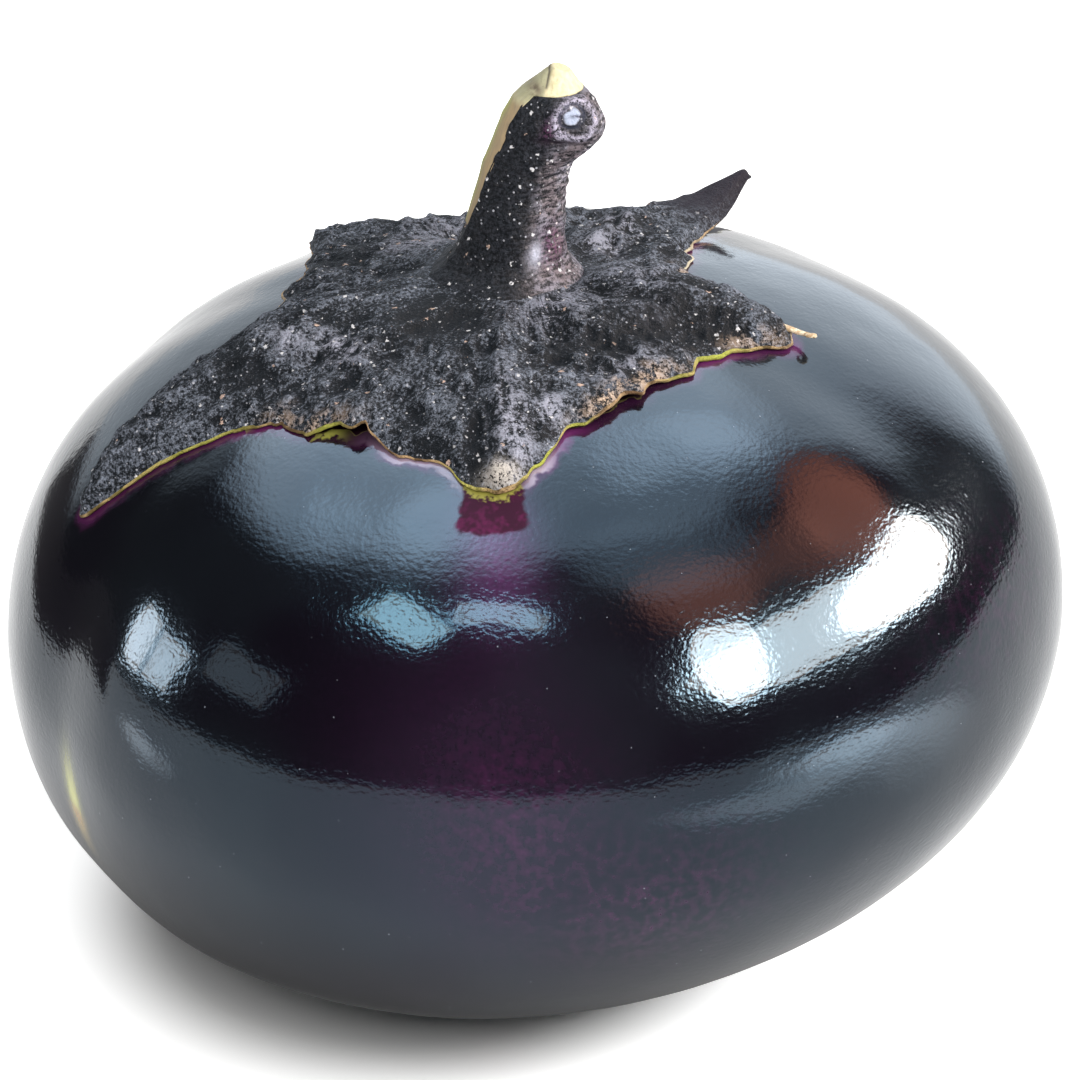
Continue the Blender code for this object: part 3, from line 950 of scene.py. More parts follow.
def along_edge(azimuth, places):
    """What a table of azimuths, half widths and strengths adds up to at each azimuth."""
    return sum(strength * bell(turn_between(azimuth, middle), width) for middle, width, strength in places)


def flattened(polar, azimuth):
    """A place of the calyx on a flat map seen from above."""
    spread, angle = np.radians(polar) * HALF_WIDTH, np.radians(azimuth)
    return np.stack([spread * np.sin(angle), -spread * np.cos(angle)], axis=-1)


def fold_height(polar, azimuth):
    """How much the sharp folds raise the calyx at each place."""
    here = flattened(polar, azimuth)
    total = 0.0
    for first, last, height, before, after in FOLDS:
        start = flattened(*first)
        way = flattened(*last) - start
        share = np.clip((here - start) @ way / (way @ way), 0, 1)
        away = here - start - share[:, None] * way
        side = way[0] * away[:, 1] - way[1] * away[:, 0]
        total = total + height * bell(np.linalg.norm(away, axis=1), np.where(side > 0, before, after))
    return total


def calyx_lift(share, polar, azimuth):
    """How far the calyx stands off the skin, at a share of the way from the stem to its edge."""
    lift = 0.0
    for middle, reach, before, after, _, tip, _ in SEPALS:
        near = bell(turn_between(azimuth, middle), TIP_WIDTH * (before + after))
        lift = lift + tip * near * np.minimum(polar / reach, 1) ** TIP_RISE
    for middle, width, height in EDGE_CURLS:
        lift = lift + height * bell(turn_between(azimuth, middle), width) * share**CURL_RISE
    return lift


def calyx_thickness(share, azimuth):
    """The calyx's thickness at a share of the way from the stem to its edge: keels, humps and lumps."""
    thick = CALYX_EDGE + (CALYX_CORE - CALYX_EDGE) * (1 - share) ** CORE_FALL
    for middle, _, _, _, _, _, keel in SEPALS:
        near = bell(turn_between(azimuth, middle), KEEL_WIDTH)
        thick = thick + keel * near * np.sin(np.pi * share**KEEL_FALL)
    thick = thick + patches(share, azimuth, HUMPS)
    around = np.sin(np.radians(LUMPS_ROUND * azimuth + LUMP_START))
    outwards = np.sin(LUMPS_OUT * share + np.radians(LUMP_TWIST * azimuth))
    return thick + LUMP_HEIGHT * around * outwards * np.sin(np.pi * share)


def spaced(fine, density, shares):
    """Places on a line, closer together where the density is higher, at shares of the way along it."""
    total = np.concatenate([[0], np.cumsum((density[1:] + density[:-1]) / 2)])
    return np.interp(shares * total[-1], total, fine)


def crowded(count, middles):
    """Azimuths all the way round, closer together near the middles given."""
    fine = np.linspace(-180, 180, 3601)
    density = np.ones_like(fine)
    for middle in middles:
        density += TIP_CROWDING * bell(turn_between(fine, middle), CROWDED_WIDTH)
    return spaced(fine, density, np.arange(count) / count)


def nearest_edge(points, ragged):
    """How far each point is from the calyx's edge, in metres."""
    azimuth = np.arange(-180, 180, 0.5)
    edge = placed(skin(torn_edge(azimuth, ragged), azimuth))
    gaps = np.full(len(points), 1.0)
    for start in range(0, len(points), POINTS_AT_ONCE):
        part = points[start : start + POINTS_AT_ONCE]
        apart = np.linalg.norm(part[:, None, :] - edge[None, :, :], axis=2)
        gaps[start : start + POINTS_AT_ONCE] = apart.min(axis=1)
    return gaps


# The maroon tongue below the front lobe: its end, how round that is, its half width and length in mm
TONGUE_AZIMUTH, TONGUE_END, TONGUE_ROUND, TONGUE_HALF, TONGUE_LONG = -0.5, 42.0, 0.06, 3.9, 7.5
# Beside the edge, the purple line, the lilac band and the shreds: azimuth, half width, strength
PURPLE_LINE = (
    (57, 9, 0.8),
    (15, 4, 0.8),
    (76, 5, 1.0),
    (90, 9, 0.6),
    (118, 8, 0.6),
    (-17, 7, 1.0),
    (9, 4, 0.8),
    (-50, 8, 0.8),
    (-72, 9, 0.6),
)
LILAC_BAND = ((-16.5, 6.5, 0.55), (-8, 3, 0.3), (8.0, 3.2, 0.6))
SHREDS = ((-34.5, 3.0, 0.7), (-53, 1.2, 0.6))
# On the skin, the magenta blushes, the streak below the front lobe and the pale scar, rusty at its foot
BLUSHES = ((-1, 82, 7, 12, 0.7), (12, 98, 11, 10, 0.7), (63, 78, 14, 9, 0.4))
STREAKS = ((0, 43, 4.8, 9, 1.0), (-4, 78, 13, 26, 0.16))
PALE_SCARS = ((-58, 94, 1.4, 6, 1.0),)
RUSTY_POLAR = 94
# How many points are measured to the edge at a time
POINTS_AT_ONCE = 4000


def fruit_paint(polar, azimuth, points, ragged):
    """What varies over the skin: blushes, the streak below the front lobe, the calyx's marks, the scar."""
    gap = np.full(len(points), 9.0)
    close = (polar > 15) & (polar < 62)
    outside = polar > torn_edge(azimuth, ragged)
    gap[close] = nearest_edge(points[close], ragged) / MM
    gap[close & ~outside] *= -1
    gap[polar <= 15] = -9.0
    return {
        "blush": patches(polar, azimuth, BLUSHES),
        "streak": patches(polar, azimuth, STREAKS),
        "scar": patches(polar, azimuth, PALE_SCARS),
        "rusty": smooth_step((polar - RUSTY_POLAR) / 3),
        "edge_gap": np.clip(gap, -9, 9),
        "halo": np.clip(0.15 + along_edge(azimuth, PURPLE_LINE), 0, 1),
        "band": np.clip(along_edge(azimuth, LILAC_BAND), 0, 1),
        "shreds": np.clip(along_edge(azimuth, SHREDS), 0, 1),
    }


def fruit_shares(count):
    """Shares of the way from the stem end to the foot, closer together round the calyx's edge."""
    fine = np.linspace(0, 1, 2001)
    density = 1 + 2.0 * bell(fine - 0.19, 0.10)
    return spaced(fine, density, (np.arange(count) + 0.5) / (count - 0.5))


def build_fruit(settings, ragged):
    """The fruit, with soft dents, from its stem end to its flat foot."""
    azimuth = crowded(settings.segments, (-25, 10, 45))
    foot = foot_polar(azimuth, FLOOR)
    wide, small = Relief(21, 9 * MM), Relief(22, 3.5 * MM)
    rings, polars = [], []
    for share in fruit_shares(settings.rings):
        polar = foot * share
        points = skin(polar, azimuth)
        fade = smooth_step((1 - share) / 0.06)
        dents = settings.dents * fade * (0.7 * wide.at(points) + 0.3 * small.at(points))
        rings.append(placed(skin(polar, azimuth, dents)))
        polars.append(polar)
    rings[-1][:, 2] = 0.0
    rings.append(rings[-1] * FOOT_INNER)
    polars.append(polars[-1])
    around = np.tile(azimuth, len(rings))
    painted = fruit_paint(np.concatenate(polars), around, np.concatenate(rings), ragged)
    named = {name: [values] for name, values in painted.items()}
    return grid_piece("fruit_skin", rings, skin_finish(settings), "fruit", named)


def fanned(azimuth, outward):
    """Places on the calyx spread out like its veins, which run from the stem to the edge."""
    angle = np.radians(azimuth)
    columns = (np.sin(angle) * FAN_RADIUS, -np.cos(angle) * FAN_RADIUS, outward * FAN_STRETCH)
    return np.stack(np.broadcast_arrays(*columns), axis=-1)


def build_calyx(settings):
    """The calyx: folded and wrinkled on top, thin and torn at its edge, smooth beneath."""
    azimuth = crowded(settings.segments, [sepal[0] for sepal in SEPALS])
    edge = torn_edge(azimuth, settings.ragged)
    seat = stem_ring(0.0, azimuth, stem_radius(0.0, azimuth) - SEAT_SUNK)
    lumps = [Relief(31 + i, size * MM) for i, size in enumerate((3.2, 1.5, 0.8))]
    veins, patchy = Relief(34, 1.2 * MM), Relief(13, 1.8 * MM)
    thin = EDGE_THIN + along_edge(azimuth, EDGE_THICKER) * (0.75 + 0.5 * patchy.at(skin(edge, azimuth)))
    thin = np.maximum(thin, EDGE_THINNEST)
    edge_paint = {
        "fresh": np.clip(along_edge(azimuth, FRESH_EDGE), 0, 1),
        "cream": np.clip(along_edge(azimuth, CREAM_EDGE), 0, 1),
    }
    bare = bell(turn_between(azimuth, HORN_AZIMUTH), 9)
    unpainted = dict.fromkeys(("ridge", "rim", "pale", "dark", "crumb", "cork", "blade"), 0.0)
    rings = Rings()

    def keep(points, outward, **values):
        rings.add(points, fan=fanned(azimuth, outward), **{**unpainted, **edge_paint, **values})

    spread = np.linspace(0, 1, settings.rings)
    for out in 1 - (1 - spread) ** EDGE_CROWDING:
        share = np.minimum((SEAT_POLAR + (edge - SEAT_POLAR) * out) / edge, 1)
        polar = edge * share
        from_edge = np.radians(edge - polar) * HALF_WIDTH
        under = calyx_under(share, polar, azimuth, from_edge)
        place = placed(skin(polar, azimuth))
        outward = np.radians(polar) * HALF_WIDTH
        blade = bare * smooth_step((polar - 24) / 7)
        ridge = 0.45 * wrinkled(lumps[0], place) + 0.35 * wrinkled(lumps[1], place)
        ridge = ridge + 0.25 * lumps[2].at(place)
        ridge = ridge + 0.20 * wrinkled(veins, fanned(azimuth, outward)) * smooth_step((polar - 12) / 8)
        body = smooth_step(from_edge / EDGE_FADE)
        strength = (0.3 + 0.7 * smooth_step(out / 0.12)) * (0.15 + 0.85 * body) * (1 - 0.8 * blade)
        cork = patches(polar, azimuth, CORK_TIP)
        whole = calyx_thickness(share, azimuth) + fold_height(polar, azimuth)
        thick = thin + (np.maximum(whole, thin) - thin) * body
        thick = thick + settings.relief * ridge * strength + 0.45 * MM * cork
        top = placed(skin(polar, azimuth, under + thick))
        flare = smooth_step(1 - out / FLARE_OUT)
        width = (0.34 + 0.22 * patchy.at(place)) * (1 + 0.8 * edge_paint["cream"]) * MM
        rim = (1 - smooth_step(from_edge / width)) * (1 - bare)
        crumb = np.clip(along_edge(azimuth, CRUMBS), 0, 1) * bell(from_edge - 0.9 * MM, 1.3 * MM)
        keep(
            top + (seat - top) * flare,
            outward,
            # ridge also sets the painted shade in the hollows and the painted light on the crests; pale holds
            # the bloom and painted highlight, dark the painted shade
            ridge=0.5 + 0.5 * ridge * strength,
            rim=rim,
            pale=np.minimum(patches(polar, azimuth, PALE_AND_LIT_PATCHES), 1.0),
            dark=np.minimum(patches(polar, azimuth, PAINTED_SHADE_PATCHES), 1.0),
            crumb=crumb * (0.6 + 0.4 * patchy.at(place)),
            cork=cork,
            blade=blade,
        )
    outward = np.radians(edge) * HALF_WIDTH
    under = calyx_under(np.ones_like(edge), edge, azimuth, np.zeros_like(edge))
    bulge = np.degrees(0.3 * thin / HALF_WIDTH)
    keep(placed(skin(edge + bulge, azimuth, under + 0.5 * thin)), outward, rim=1 - bare, blade=bare)
    for share in np.linspace(1, 0, UNDERSIDE_RINGS)[:-1]:
        polar = edge * share
        from_edge = np.radians(edge - polar) * HALF_WIDTH
        under = calyx_under(share, polar, azimuth, from_edge)
        low = float(share > 0.97)
        # The underside is painted dark: painted shade under the calyx
        keep(placed(skin(polar, azimuth, under)), outward * share, rim=low * (1 - bare), dark=0.8, blade=bare)
    return grid_piece("calyx_leaf", rings.points, calyx_finish(settings), "calyx", rings.painted)


def calyx_under(share, polar, azimuth, from_edge):
    """How far the calyx's underside is off the skin: it lies close along the edge, save where that curls."""
    gap = EDGE_GAP + (CALYX_GAP - EDGE_GAP) * smooth_step(from_edge / (4 * MM))
    return gap + calyx_lift(share, polar, azimuth)


def stem_middle(share):
    """The middle of the stem at a share of its height."""
    foot = skin(np.array(0.0), np.array(0.0), CALYX_GAP + CALYX_CORE + STEM_FOOT_LIFT)
    lean = STEM_FOOT_SHIFT + np.interp(share, *zip(*STEM_LEAN))
    return placed(foot) + np.array([lean, 0.0, STEM_HEIGHT * share])


def stem_radius(share, azimuth):
    """The stem's radius at a share of its height: the flare, five soft ribs and the bud knuckle."""
    radius = np.interp(share, *zip(*STEM_PROFILE))
    rib = 1 + STEM_RIB * (1 - RIB_FADE * share) * np.cos(np.radians(STEM_RIBS * azimuth))
    around = bell(turn_between(azimuth, KNUCKLE_AZIMUTH), KNUCKLE_SPREAD)
    return radius * rib + KNUCKLE_HEIGHT * around * bell(share - KNUCKLE_AT, KNUCKLE_REACH)


def stem_ring(share, azimuth, radius):
    """Points at the radius round the stem's middle."""
    east, front = np.sin(np.radians(azimuth)), np.cos(np.radians(azimuth))
    offsets = np.stack([radius * east, -radius * front, np.zeros_like(east)], axis=-1)
    return stem_middle(share) + offsets


def strip_depth(share):
    """How deep the peeled strip cuts into the stem at a share of its height."""
    along = np.clip((share - STRIP_CUT_START) / (1 - STRIP_CUT_START), 0, 1)
    return STRIP_DEPTH * along**STRIP_DEEPENS


def build_stem(settings):
    """The stem's dark rind: wrinkled, flat where the strip is peeled off, with the ringed bud scar."""
    azimuth = turn_between(np.arange(settings.segments) * 360.0 / settings.segments, 0)
    coarse, small = Relief(41, 1.6 * MM), Relief(42, 0.7 * MM)
    rings = Rings()
    for share in np.linspace(1, -0.02, settings.rings):
        radius = stem_radius(share, azimuth)
        facing = np.cos(np.radians(turn_between(azimuth, WOOD_AZIMUTH)))
        chord = stem_radius(share, WOOD_AZIMUTH) - strip_depth(share)
        cut = facing > FACING
        radius[cut] = np.minimum(radius, chord / np.maximum(facing, FACING))[cut]
        place = stem_ring(share, azimuth, radius)
        rough = 0.55 * wrinkled(coarse, place * np.array([1, 1, 0.55])) + 0.45 * small.at(place)
        across = np.radians(turn_between(azimuth, SCAR_AZIMUTH)) * radius + 0.25 * MM * coarse.at(place)
        along = (share - SCAR_SHARE) * STEM_HEIGHT + 0.25 * MM * small.at(place)
        away = np.hypot(across, along)
        inner = np.hypot(across + 0.20 * settings.scar, along - 0.25 * settings.scar)
        ring = bell(away - settings.scar, 0.40 * MM)
        hollow = bell(inner - 0.62 * settings.scar, 0.16 * MM)
        disc = 1 - smooth_step((inner - 0.33 * settings.scar) / (0.25 * MM))
        slit = bell(across - 0.05 * MM, 0.65 * MM) * bell(along - 0.35 * MM - 0.2 * across, 0.14 * MM)
        creases = np.sin(share * 105 + 2.4 * coarse.at(place)) * bell(share - 0.57, 0.14)
        creases = creases * bell(turn_between(azimuth, 62), 42)
        fold = bell(along + 1.25 * settings.scar + 0.1 * across, 0.28 * MM)
        fold = fold * bell(turn_between(azimuth, 20), 26)
        calm = 1 - 0.75 * bell(away, 2.2 * MM)
        foot = 0.35 + 0.65 * smooth_step(share / 0.08)
        lift = settings.relief * rough * calm * foot + 0.16 * MM * creases
        lift = lift + MM * (0.26 * ring - 0.22 * hollow + 0.12 * disc - 0.30 * slit - 0.35 * fold)
        lift = lift - SEAT_SUNK * smooth_step(1 - share / 0.05)
        # Painted light: the lilac bloom and its flecks are painted only on the side that the key light falls
        # on
        lit = smooth_step((azimuth - 6) / 34) * smooth_step((150 - azimuth) / 50)
        rings.add(
            stem_ring(share, azimuth, radius + lift),
            bloom=0.03 + 0.86 * lit * (1 - bell(away, 2.4 * MM)),
            haze=patches(share, azimuth, STEM_PAINTED_HIGHLIGHT),
            plum=patches(share, azimuth, STEM_PLUM),
            scar_ring=np.clip(ring + disc, 0, 1),
            scar_dark=np.clip(hollow + slit, 0, 1),
            scar_disc=disc * (1 - slit),
            fold=np.clip(fold, 0, 1),
        )
    return grid_piece("stem_rind", rings.points, stem_finish(settings), "stem", rings.painted)


def strip_ring(share, turn, sunk):
    """The peeled strip's section, its flat sunk a little into the stem."""
    outer = stem_radius(share, WOOD_AZIMUTH)
    flat = outer - strip_depth(share) - sunk
    half = math.sqrt(outer**2 - flat**2) * 0.98
    across = half * np.sin(np.radians(turn))
    round_side = np.sqrt(outer**2 - across**2)
    out = np.where(np.cos(np.radians(turn)) > 0, round_side, flat)
    angle = math.radians(WOOD_AZIMUTH)
    east = out * math.sin(angle) + across * math.cos(angle)
    south = out * math.cos(angle) - across * math.sin(angle)
    return stem_middle(share) + np.stack([east, -south, np.zeros_like(east)], axis=-1)


def cut_ring(turn, share, inset):
    """The wood above the rind, drawn in from its foot to the blunt torn wedge at its top."""
    azimuth = WOOD_AZIMUTH + turn
    radius = stem_radius(1.0, WOOD_AZIMUTH) * (1 - WOOD_TAPER * share) * (1 - inset)
    ring = stem_ring(1.0, azimuth, radius * np.ones_like(turn))
    high = (1 + (1 - inset) * np.cos(np.radians(turn))) / 2
    ring[:, 0] += share * WOOD_SHIFT
    ring[:, 2] += share * (WOOD_LOW + (WOOD_HIGH - WOOD_LOW) * high)
    return ring


def build_wood(settings):
    """The bared wood: the peeled strip, widening to the torn wedge with its flap that ends the stem."""
    turn = turn_between(np.arange(WOOD_SIDES) * 360.0 / WOOD_SIDES, 0)
    fibres = Relief(51, 0.6 * MM)
    rings, cut = [], []
    for share in np.linspace(STRIP_START, 1, STRIP_RINGS):
        rings.append(strip_ring(share, turn, STRIP_SUNK))
        cut.append(np.full(turn.shape, smooth_step((share - 0.93) / 0.06)))
    for share in np.linspace(0.02, 1, WEDGE_RINGS):
        rings.append(cut_ring(turn, share**0.85, 0.0))
        cut.append(np.ones(turn.shape))
    for inset in np.linspace(0.1, 0.95, TOP_RINGS):
        rings.append(cut_ring(turn, 1.0, inset))
        cut.append(np.ones(turn.shape))
    made = Rings()
    for ring, pale in zip(rings[::-1], cut[::-1]):
        rough = fibres.at(ring * np.array([1, 1, 0.2]))
        outwards = ring - stem_middle(0.9)
        outwards[:, 2] = 0.0
        length = np.linalg.norm(outwards, axis=1, keepdims=True)
        high = (ring[:, 2] - stem_middle(1.0)[2]) / MM
        side = (ring[:, 0] - stem_middle(1.0)[0]) / MM + 1.0 - 0.30 * high
        seam = bell(side, 0.16) * pale * smooth_step((high - 0.5) / 0.4)
        ring += (0.10 * rough - 0.22 * seam)[:, None] * MM * outwards / np.maximum(length, 1e-4)
        made.add(
            ring,
            cut=pale,
            green=bell(turn, 24) * (1 - pale),
            flap=smooth_step(-side / 0.2) * pale,
            brown=bell(side + 1.1, 0.8) * bell(high - 0.5, 0.55),
            seam=np.clip(seam, 0, 1),
        )
    return grid_piece("cut_wood", made.points, wood_finish(settings), "stem_wood", made.painted)


# The dry thread's way over the skin: polar, azimuth, height off the skin and share of its thickness
THREAD_WAY = (
    (30.2, 75.6, 1.0, 1.2),
    (31.9, 75.4, 1.2, 1.0),
    (33.2, 75.8, 1.1, 0.85),
    (34.2, 75.6, 1.3, 0.75),
    (34.9, 75.0, 1.7, 0.8),
    (34.8, 74.3, 1.9, 0.75),
    (34.2, 74.2, 1.7, 0.65),
    (34.0, 74.8, 1.5, 0.45),
)
THREAD_SIDES, THREAD_RINGS = 14, 70


def build_thread(settings):
    """The dried thread that ends the right lobe in a small curl."""
    knots = np.array(THREAD_WAY)
    along = np.linspace(0, len(knots) - 1, THREAD_RINGS)
    polar, azimuth, height, width = (smooth_through(column, along) for column in knots.T)
    path = placed(skin(polar, azimuth, height * MM))
    ahead = np.gradient(path, axis=0)
    ahead /= np.linalg.norm(ahead, axis=1, keepdims=True)
    side = np.cross(ahead, [0.0, 0.0, 1.0])
    side /= np.linalg.norm(side, axis=1, keepdims=True)
    lift = np.cross(side, ahead)
    turn = np.radians(np.arange(THREAD_SIDES) * 360.0 / THREAD_SIDES)
    rings = []
    for i in range(len(path)):
        radius = settings.thread * width[i]
        ring = path[i] + radius * (np.cos(turn)[:, None] * side[i] + np.sin(turn)[:, None] * lift[i])
        rings.append(ring)
    return grid_piece("lobe_thread", rings, thread_finish(settings))


def smooth_through(values, along):
    """Values between knots, on a smooth curve through them."""
    low = np.clip(np.floor(along).astype(int), 0, len(values) - 2)
    part = along - low
    before = values[np.maximum(low - 1, 0)]
    first, second = values[low], values[low + 1]
    after = values[np.minimum(low + 2, len(values) - 1)]
    bend = 2 * before - 5 * first + 4 * second - after
    twist = -before + 3 * first - 3 * second + after
    return first + 0.5 * part * (second - before + part * (bend + part * twist))


def towards(azimuth, elevation):
    """The direction from the fruit at an azimuth and an elevation."""
    level = math.cos(math.radians(elevation))
    angle = math.radians(azimuth)
    return Vector((level * math.sin(angle), -level * math.cos(angle), math.sin(math.radians(elevation))))


WHITE, WARM_WHITE = (1.0, 1.0, 1.0), (1.0, 0.87, 0.77)
# Each window, seen only in gloss: azimuth, elevation, width, height and roll in degrees, light, colour
WINDOWS = {
    "right_window": (94, 27.5, 42, 18, -12, 30.0, WARM_WHITE),
    "right_window_end": (45, 36, 13, 27, -10, 28.0, WARM_WHITE),
    "right_window_glow": (68, 32.5, 56, 21, -8, 17.0, WARM_WHITE),
    "front_window": (-49, 55.5, 17, 8, -8, 11.0, (0.72, 0.97, 1.0)),
    "front_window_dim": (-17, 63, 18, 6, -4, 10.0, (0.78, 0.95, 1.0)),
    "left_window": (-94, 12.5, 8, 15, 0, 12.0, WHITE),
    "left_window_half": (-84, 12.5, 8, 14, 0, 10.0, WHITE),
    "left_sparkle": (-66, 24, 14, 12, 0, 1.0, WHITE),
}
WINDOW_FAR = 0.6
ROUND_WINDOWS = ("right_window", "right_window_end", "right_window_glow")

# Soft glows overhead: azimuth, elevation, inner and outer angle, light
GLOWS = ((-114, 71, 4, 14, 3.0), (147, 62, 2, 11, 2.3), (75, 72, 3, 15, 1.1))
WARM_GLOWS = ((112, 44, 4, 17, 3.2), (92, 52, 2, 12, 1.6), (60, 60, 2, 13, 2.8))
ROOM_COLOUR, WARM_COLOUR = (0.84, 0.92, 1.0), (1.0, 0.30, 0.17)

# The soft lights that shade the matt surfaces and the floor: azimuth, elevation, width, height, light
SOFT_LIGHTS = {
    "soft_right": (78, 33, 0.50, 0.35, 8.0),
    "soft_front": (2, 44, 0.90, 0.35, 4.8),
    "soft_top": (60, 75, 0.50, 0.50, 2.2),
}
SOFT_FAR = 0.75
SOFT_COLOUR = (1.0, 0.99, 0.97)

# The two round floors, and the dark card at the left
FLOOR_RADIUS, FLOOR_SIDES = 6.0, 96
MIRRORED_HEIGHT = 0.02 * MM
FLAG_AZIMUTH, FLAG_FAR = -118.0, 250 * MM
FLAG_WIDTH, FLAG_HEIGHT = 200 * MM, 64 * MM
FLAG_COLOUR = (0.02, 0.02, 0.025)


def add_panel(name, way, far, width, height, roll, light, tint):
    """A light panel that faces the fruit's middle."""
    lamp = bpy.data.lights.new(name, "AREA")
    lamp.shape = "ELLIPSE" if name in ROUND_WINDOWS else "RECTANGLE"
    lamp.size = width
    lamp.size_y = height
    lamp.color = tint
    lamp.energy = light * width * height * math.pi
    if name in ROUND_WINDOWS:
        lamp.energy *= math.pi / 4
    panel = add_object(name, lamp)
    panel.location = Vector(-ORIGIN) + way * far
    turned = way.to_track_quat("Z", "Y").to_matrix() @ Matrix.Rotation(math.radians(roll), 3, "Z")
    panel.rotation_euler = turned.to_euler()
    panel.visible_camera = False
    return panel


def make_lights(brightness):
    """The windows that the skin mirrors, and the soft light that shades what is matt."""
    for name, (azimuth, elevation, wide, high, roll, light, tint) in WINDOWS.items():
        width = 2 * WINDOW_FAR * math.tan(math.radians(wide / 2))
        height = 2 * WINDOW_FAR * math.tan(math.radians(high / 2))
        way = towards(azimuth, elevation)
        panel = add_panel(name, way, WINDOW_FAR, width, height, roll, light * brightness, tint)
        panel.visible_diffuse = False
    for name, (azimuth, elevation, width, height, light) in SOFT_LIGHTS.items():
        way = towards(azimuth, elevation)
        panel = add_panel(name, way, SOFT_FAR, width, height, 0, light * brightness, SOFT_COLOUR)
        panel.visible_glossy = False


def make_camera():
    """The camera at the photograph's angle."""
    cosine, sine = math.cos(CAMERA_DOWN), math.sin(CAMERA_DOWN)
    spot = Vector(-ORIGIN)
    spot += Vector((CAMERA_RIGHT, CAMERA_UP * sine, CAMERA_UP * cosine))
    spot -= CAMERA_DISTANCE * Vector((0.0, cosine, -sine))
    data = bpy.data.cameras.new("camera")
    data.lens = CAMERA_LENS
    data.sensor_width = SENSOR_WIDTH
    data.clip_start = 0.01
    camera = add_object("camera", data)
    camera.location = spot
    camera.rotation_euler = (math.pi / 2 - CAMERA_DOWN, 0.0, 0.0)
    bpy.context.scene.camera = camera
    return camera


def add_flat(name, corners, finish):
    """A flat face of the stage."""
    mesh = bpy.data.meshes.new(name)
    mesh.from_pydata(corners, [], [list(range(len(corners)))])
    mesh.materials.append(finish)
    flat = add_object(name, mesh)
    return flat


def add_floor(name, height, finish):
    """A wide round floor at a height."""
    turn = np.radians(np.arange(FLOOR_SIDES) * 360.0 / FLOOR_SIDES)
    corners = [(FLOOR_RADIUS * math.cos(angle), FLOOR_RADIUS * math.sin(angle), height) for angle in turn]
    return add_flat(name, corners, finish)


def make_floor(settings):
    """The pale floor, and the greyer one that only the glossy skin mirrors."""
    floor = add_floor("floor", 0.0, pale_finish(settings))
    floor.visible_glossy = False
    mirrored = add_floor("mirrored_floor", MIRRORED_HEIGHT, mirrored_finish(settings))
    mirrored.visible_camera = False
    mirrored.visible_diffuse = False
    mirrored.visible_shadow = False


def make_flag():
    """A dark card standing at the far left, which the skin's edge mirrors there."""
    middle = Vector(-ORIGIN).xy.to_3d() + towards(FLAG_AZIMUTH, 0) * FLAG_FAR
    side = towards(FLAG_AZIMUTH + 90, 0) * (FLAG_WIDTH / 2)
    high = Vector((0, 0, FLAG_HEIGHT))
    corners = (middle - side, middle + side, middle + side + high, middle - side + high)
    made = Finish("dark_card")
    made.set(Base_Color=FLAG_COLOUR, Roughness=0.9 + 0.05 * made.noise(0.05))
    card = add_flat("dark_card", corners, made.material)
    card.visible_camera = False
    card.visible_diffuse = False
    card.visible_shadow = False
    return card


def make_room(brightness):
    """The room round the stage: a white sweep behind and overhead, dark in front and at the sides."""
    world = bpy.data.worlds.new("room")
    bpy.context.scene.world = world
    room = Nodes(world)
    way = room.places["Generated"]
    back, up = room.along(way, (0, 1, 0)), room.along(way, (0, 0, 1))
    level = (1 - up * up).sum("MAXIMUM", 0.001) ** 0.5
    sweep = (back / level).between(0.62, 0.82) * up.between(0.99, 0.85)
    overhead = room.along(way, (-0.12, 0.45, 1.0)).between(0.88, 0.99)
    left = room.along(way, (1, 0, 0)).between(0.15, -0.25)
    light = 0.04 + sweep * (2.1 - 1.1 * left) + overhead * (1.9 + 1.75 * left)
    light = light + glowing(room, way, GLOWS)
    warm = glowing(room, way, WARM_GLOWS)
    shade = room.together(room.scaled(ROOM_COLOUR, light), room.scaled(WARM_COLOUR, warm))
    shine = room.node("ShaderNodeBackground", inputs={"Color": shade, "Strength": brightness})
    room.node("ShaderNodeOutputWorld", inputs={"Surface": shine.outputs[0]})
    world.cycles_visibility.diffuse = False
    return world


def glowing(room, way, glows):
    """The light of some soft round glows in the directions of the room."""
    light = 0.0
    for azimuth, elevation, inner, outer, bright in glows:
        near = room.along(way, towards(azimuth, elevation))
        light = light + bright * near.between(math.cos(math.radians(outer)), math.cos(math.radians(inner)))
    return light


class EGGPLANT_OT_fruit(bpy.types.Operator):
    """Builds the glossy fruit"""

    bl_idname = "eggplant.fruit"
    bl_label = "Fruit"

    def execute(self, context):
        build_fruit(context.scene.eggplant_fruit, context.scene.eggplant_calyx.ragged)
        return {"FINISHED"}


class EGGPLANT_OT_calyx(bpy.types.Operator):
    """Builds the wrinkled calyx and its dry thread"""

    bl_idname = "eggplant.calyx"
    bl_label = "Calyx"

    def execute(self, context):
        build_calyx(context.scene.eggplant_calyx)
        build_thread(context.scene.eggplant_calyx)
        return {"FINISHED"}


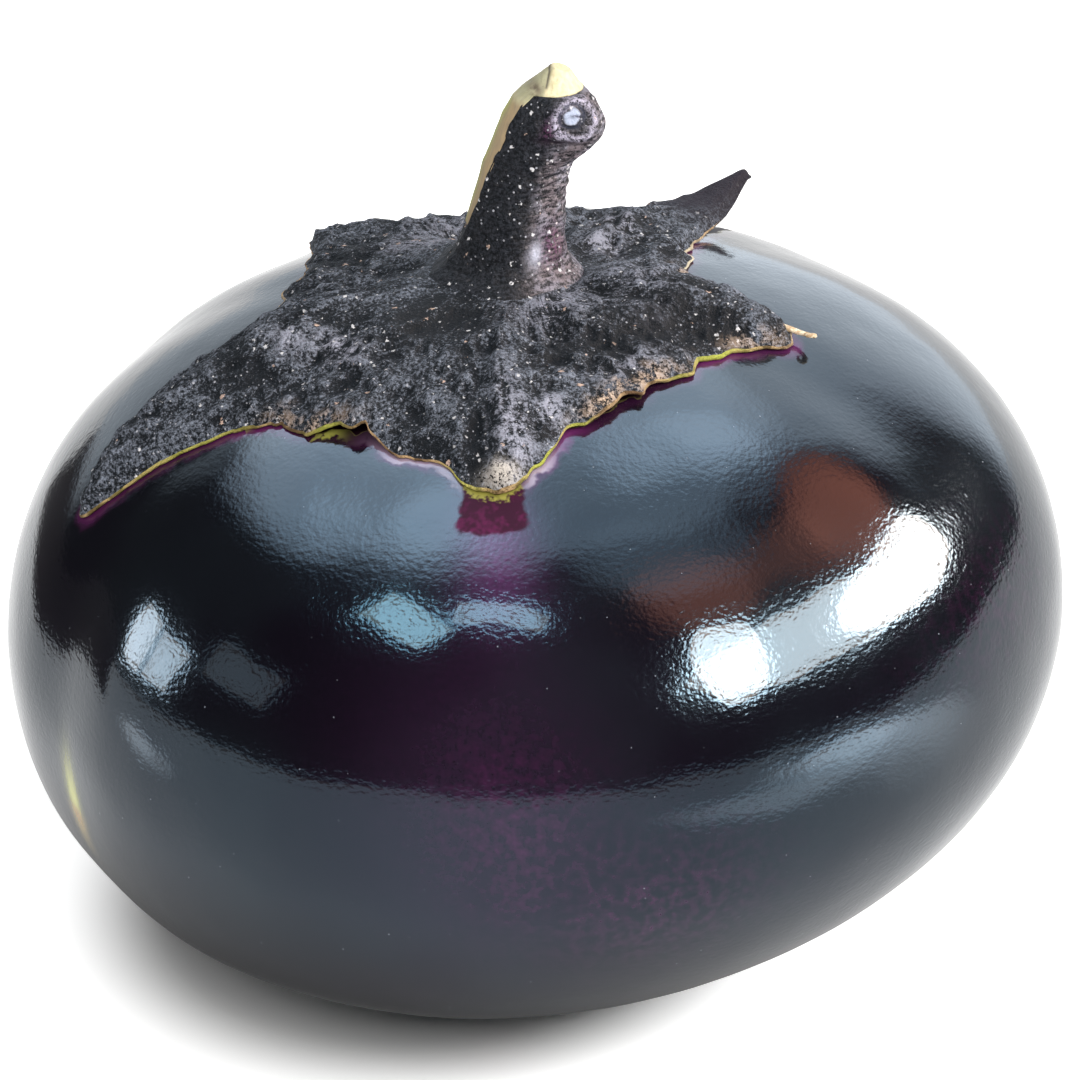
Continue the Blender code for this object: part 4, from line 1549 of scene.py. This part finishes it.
class EGGPLANT_OT_stem(bpy.types.Operator):
    """Builds the speckled stem and its bared wood"""

    bl_idname = "eggplant.stem"
    bl_label = "Stem"

    def execute(self, context):
        build_stem(context.scene.eggplant_stem)
        build_wood(context.scene.eggplant_stem)
        return {"FINISHED"}


class EGGPLANT_OT_stage(bpy.types.Operator):
    """Sets the floor, the lights and the camera"""

    bl_idname = "eggplant.stage"
    bl_label = "Stage"

    def execute(self, context):
        settings = context.scene.eggplant_stage
        make_floor(settings)
        make_flag()
        make_room(settings.light)
        make_lights(settings.light)
        make_camera()
        context.scene.view_settings.view_transform = "Standard"
        return {"FINISHED"}


class EGGPLANT_PT_panel(bpy.types.Panel):
    """The eggplant's pieces and settings"""

    bl_label = "Eggplant"
    bl_idname = "EGGPLANT_PT_panel"
    bl_space_type = "VIEW_3D"
    bl_region_type = "UI"
    bl_category = "Eggplant"

    def draw(self, context):
        for operator in OPERATORS:
            self.layout.operator(operator.bl_idname)
        for name, group in GROUPS.items():
            box = self.layout.box()
            for key in group.__annotations__:
                box.prop(getattr(context.scene, name), key)


GROUPS = {
    "eggplant_fruit": EGGPLANT_PG_fruit,
    "eggplant_calyx": EGGPLANT_PG_calyx,
    "eggplant_stem": EGGPLANT_PG_stem,
    "eggplant_stage": EGGPLANT_PG_stage,
}
OPERATORS = (EGGPLANT_OT_fruit, EGGPLANT_OT_calyx, EGGPLANT_OT_stem, EGGPLANT_OT_stage)


def register():
    """Registers the groups, the operators and the panel."""
    for item in (*GROUPS.values(), *OPERATORS, EGGPLANT_PT_panel):
        bpy.utils.register_class(item)
    for name, group in GROUPS.items():
        setattr(bpy.types.Scene, name, PointerProperty(type=group))


def unregister():
    """Undoes register."""
    for name in GROUPS:
        delattr(bpy.types.Scene, name)
    for item in (EGGPLANT_PT_panel, *reversed(OPERATORS), *reversed(list(GROUPS.values()))):
        bpy.utils.unregister_class(item)


def main():
    """Builds every piece in order."""
    register()
    bpy.ops.eggplant.fruit()
    bpy.ops.eggplant.calyx()
    bpy.ops.eggplant.stem()
    bpy.ops.eggplant.stage()


if __name__ == "__main__":
    main()
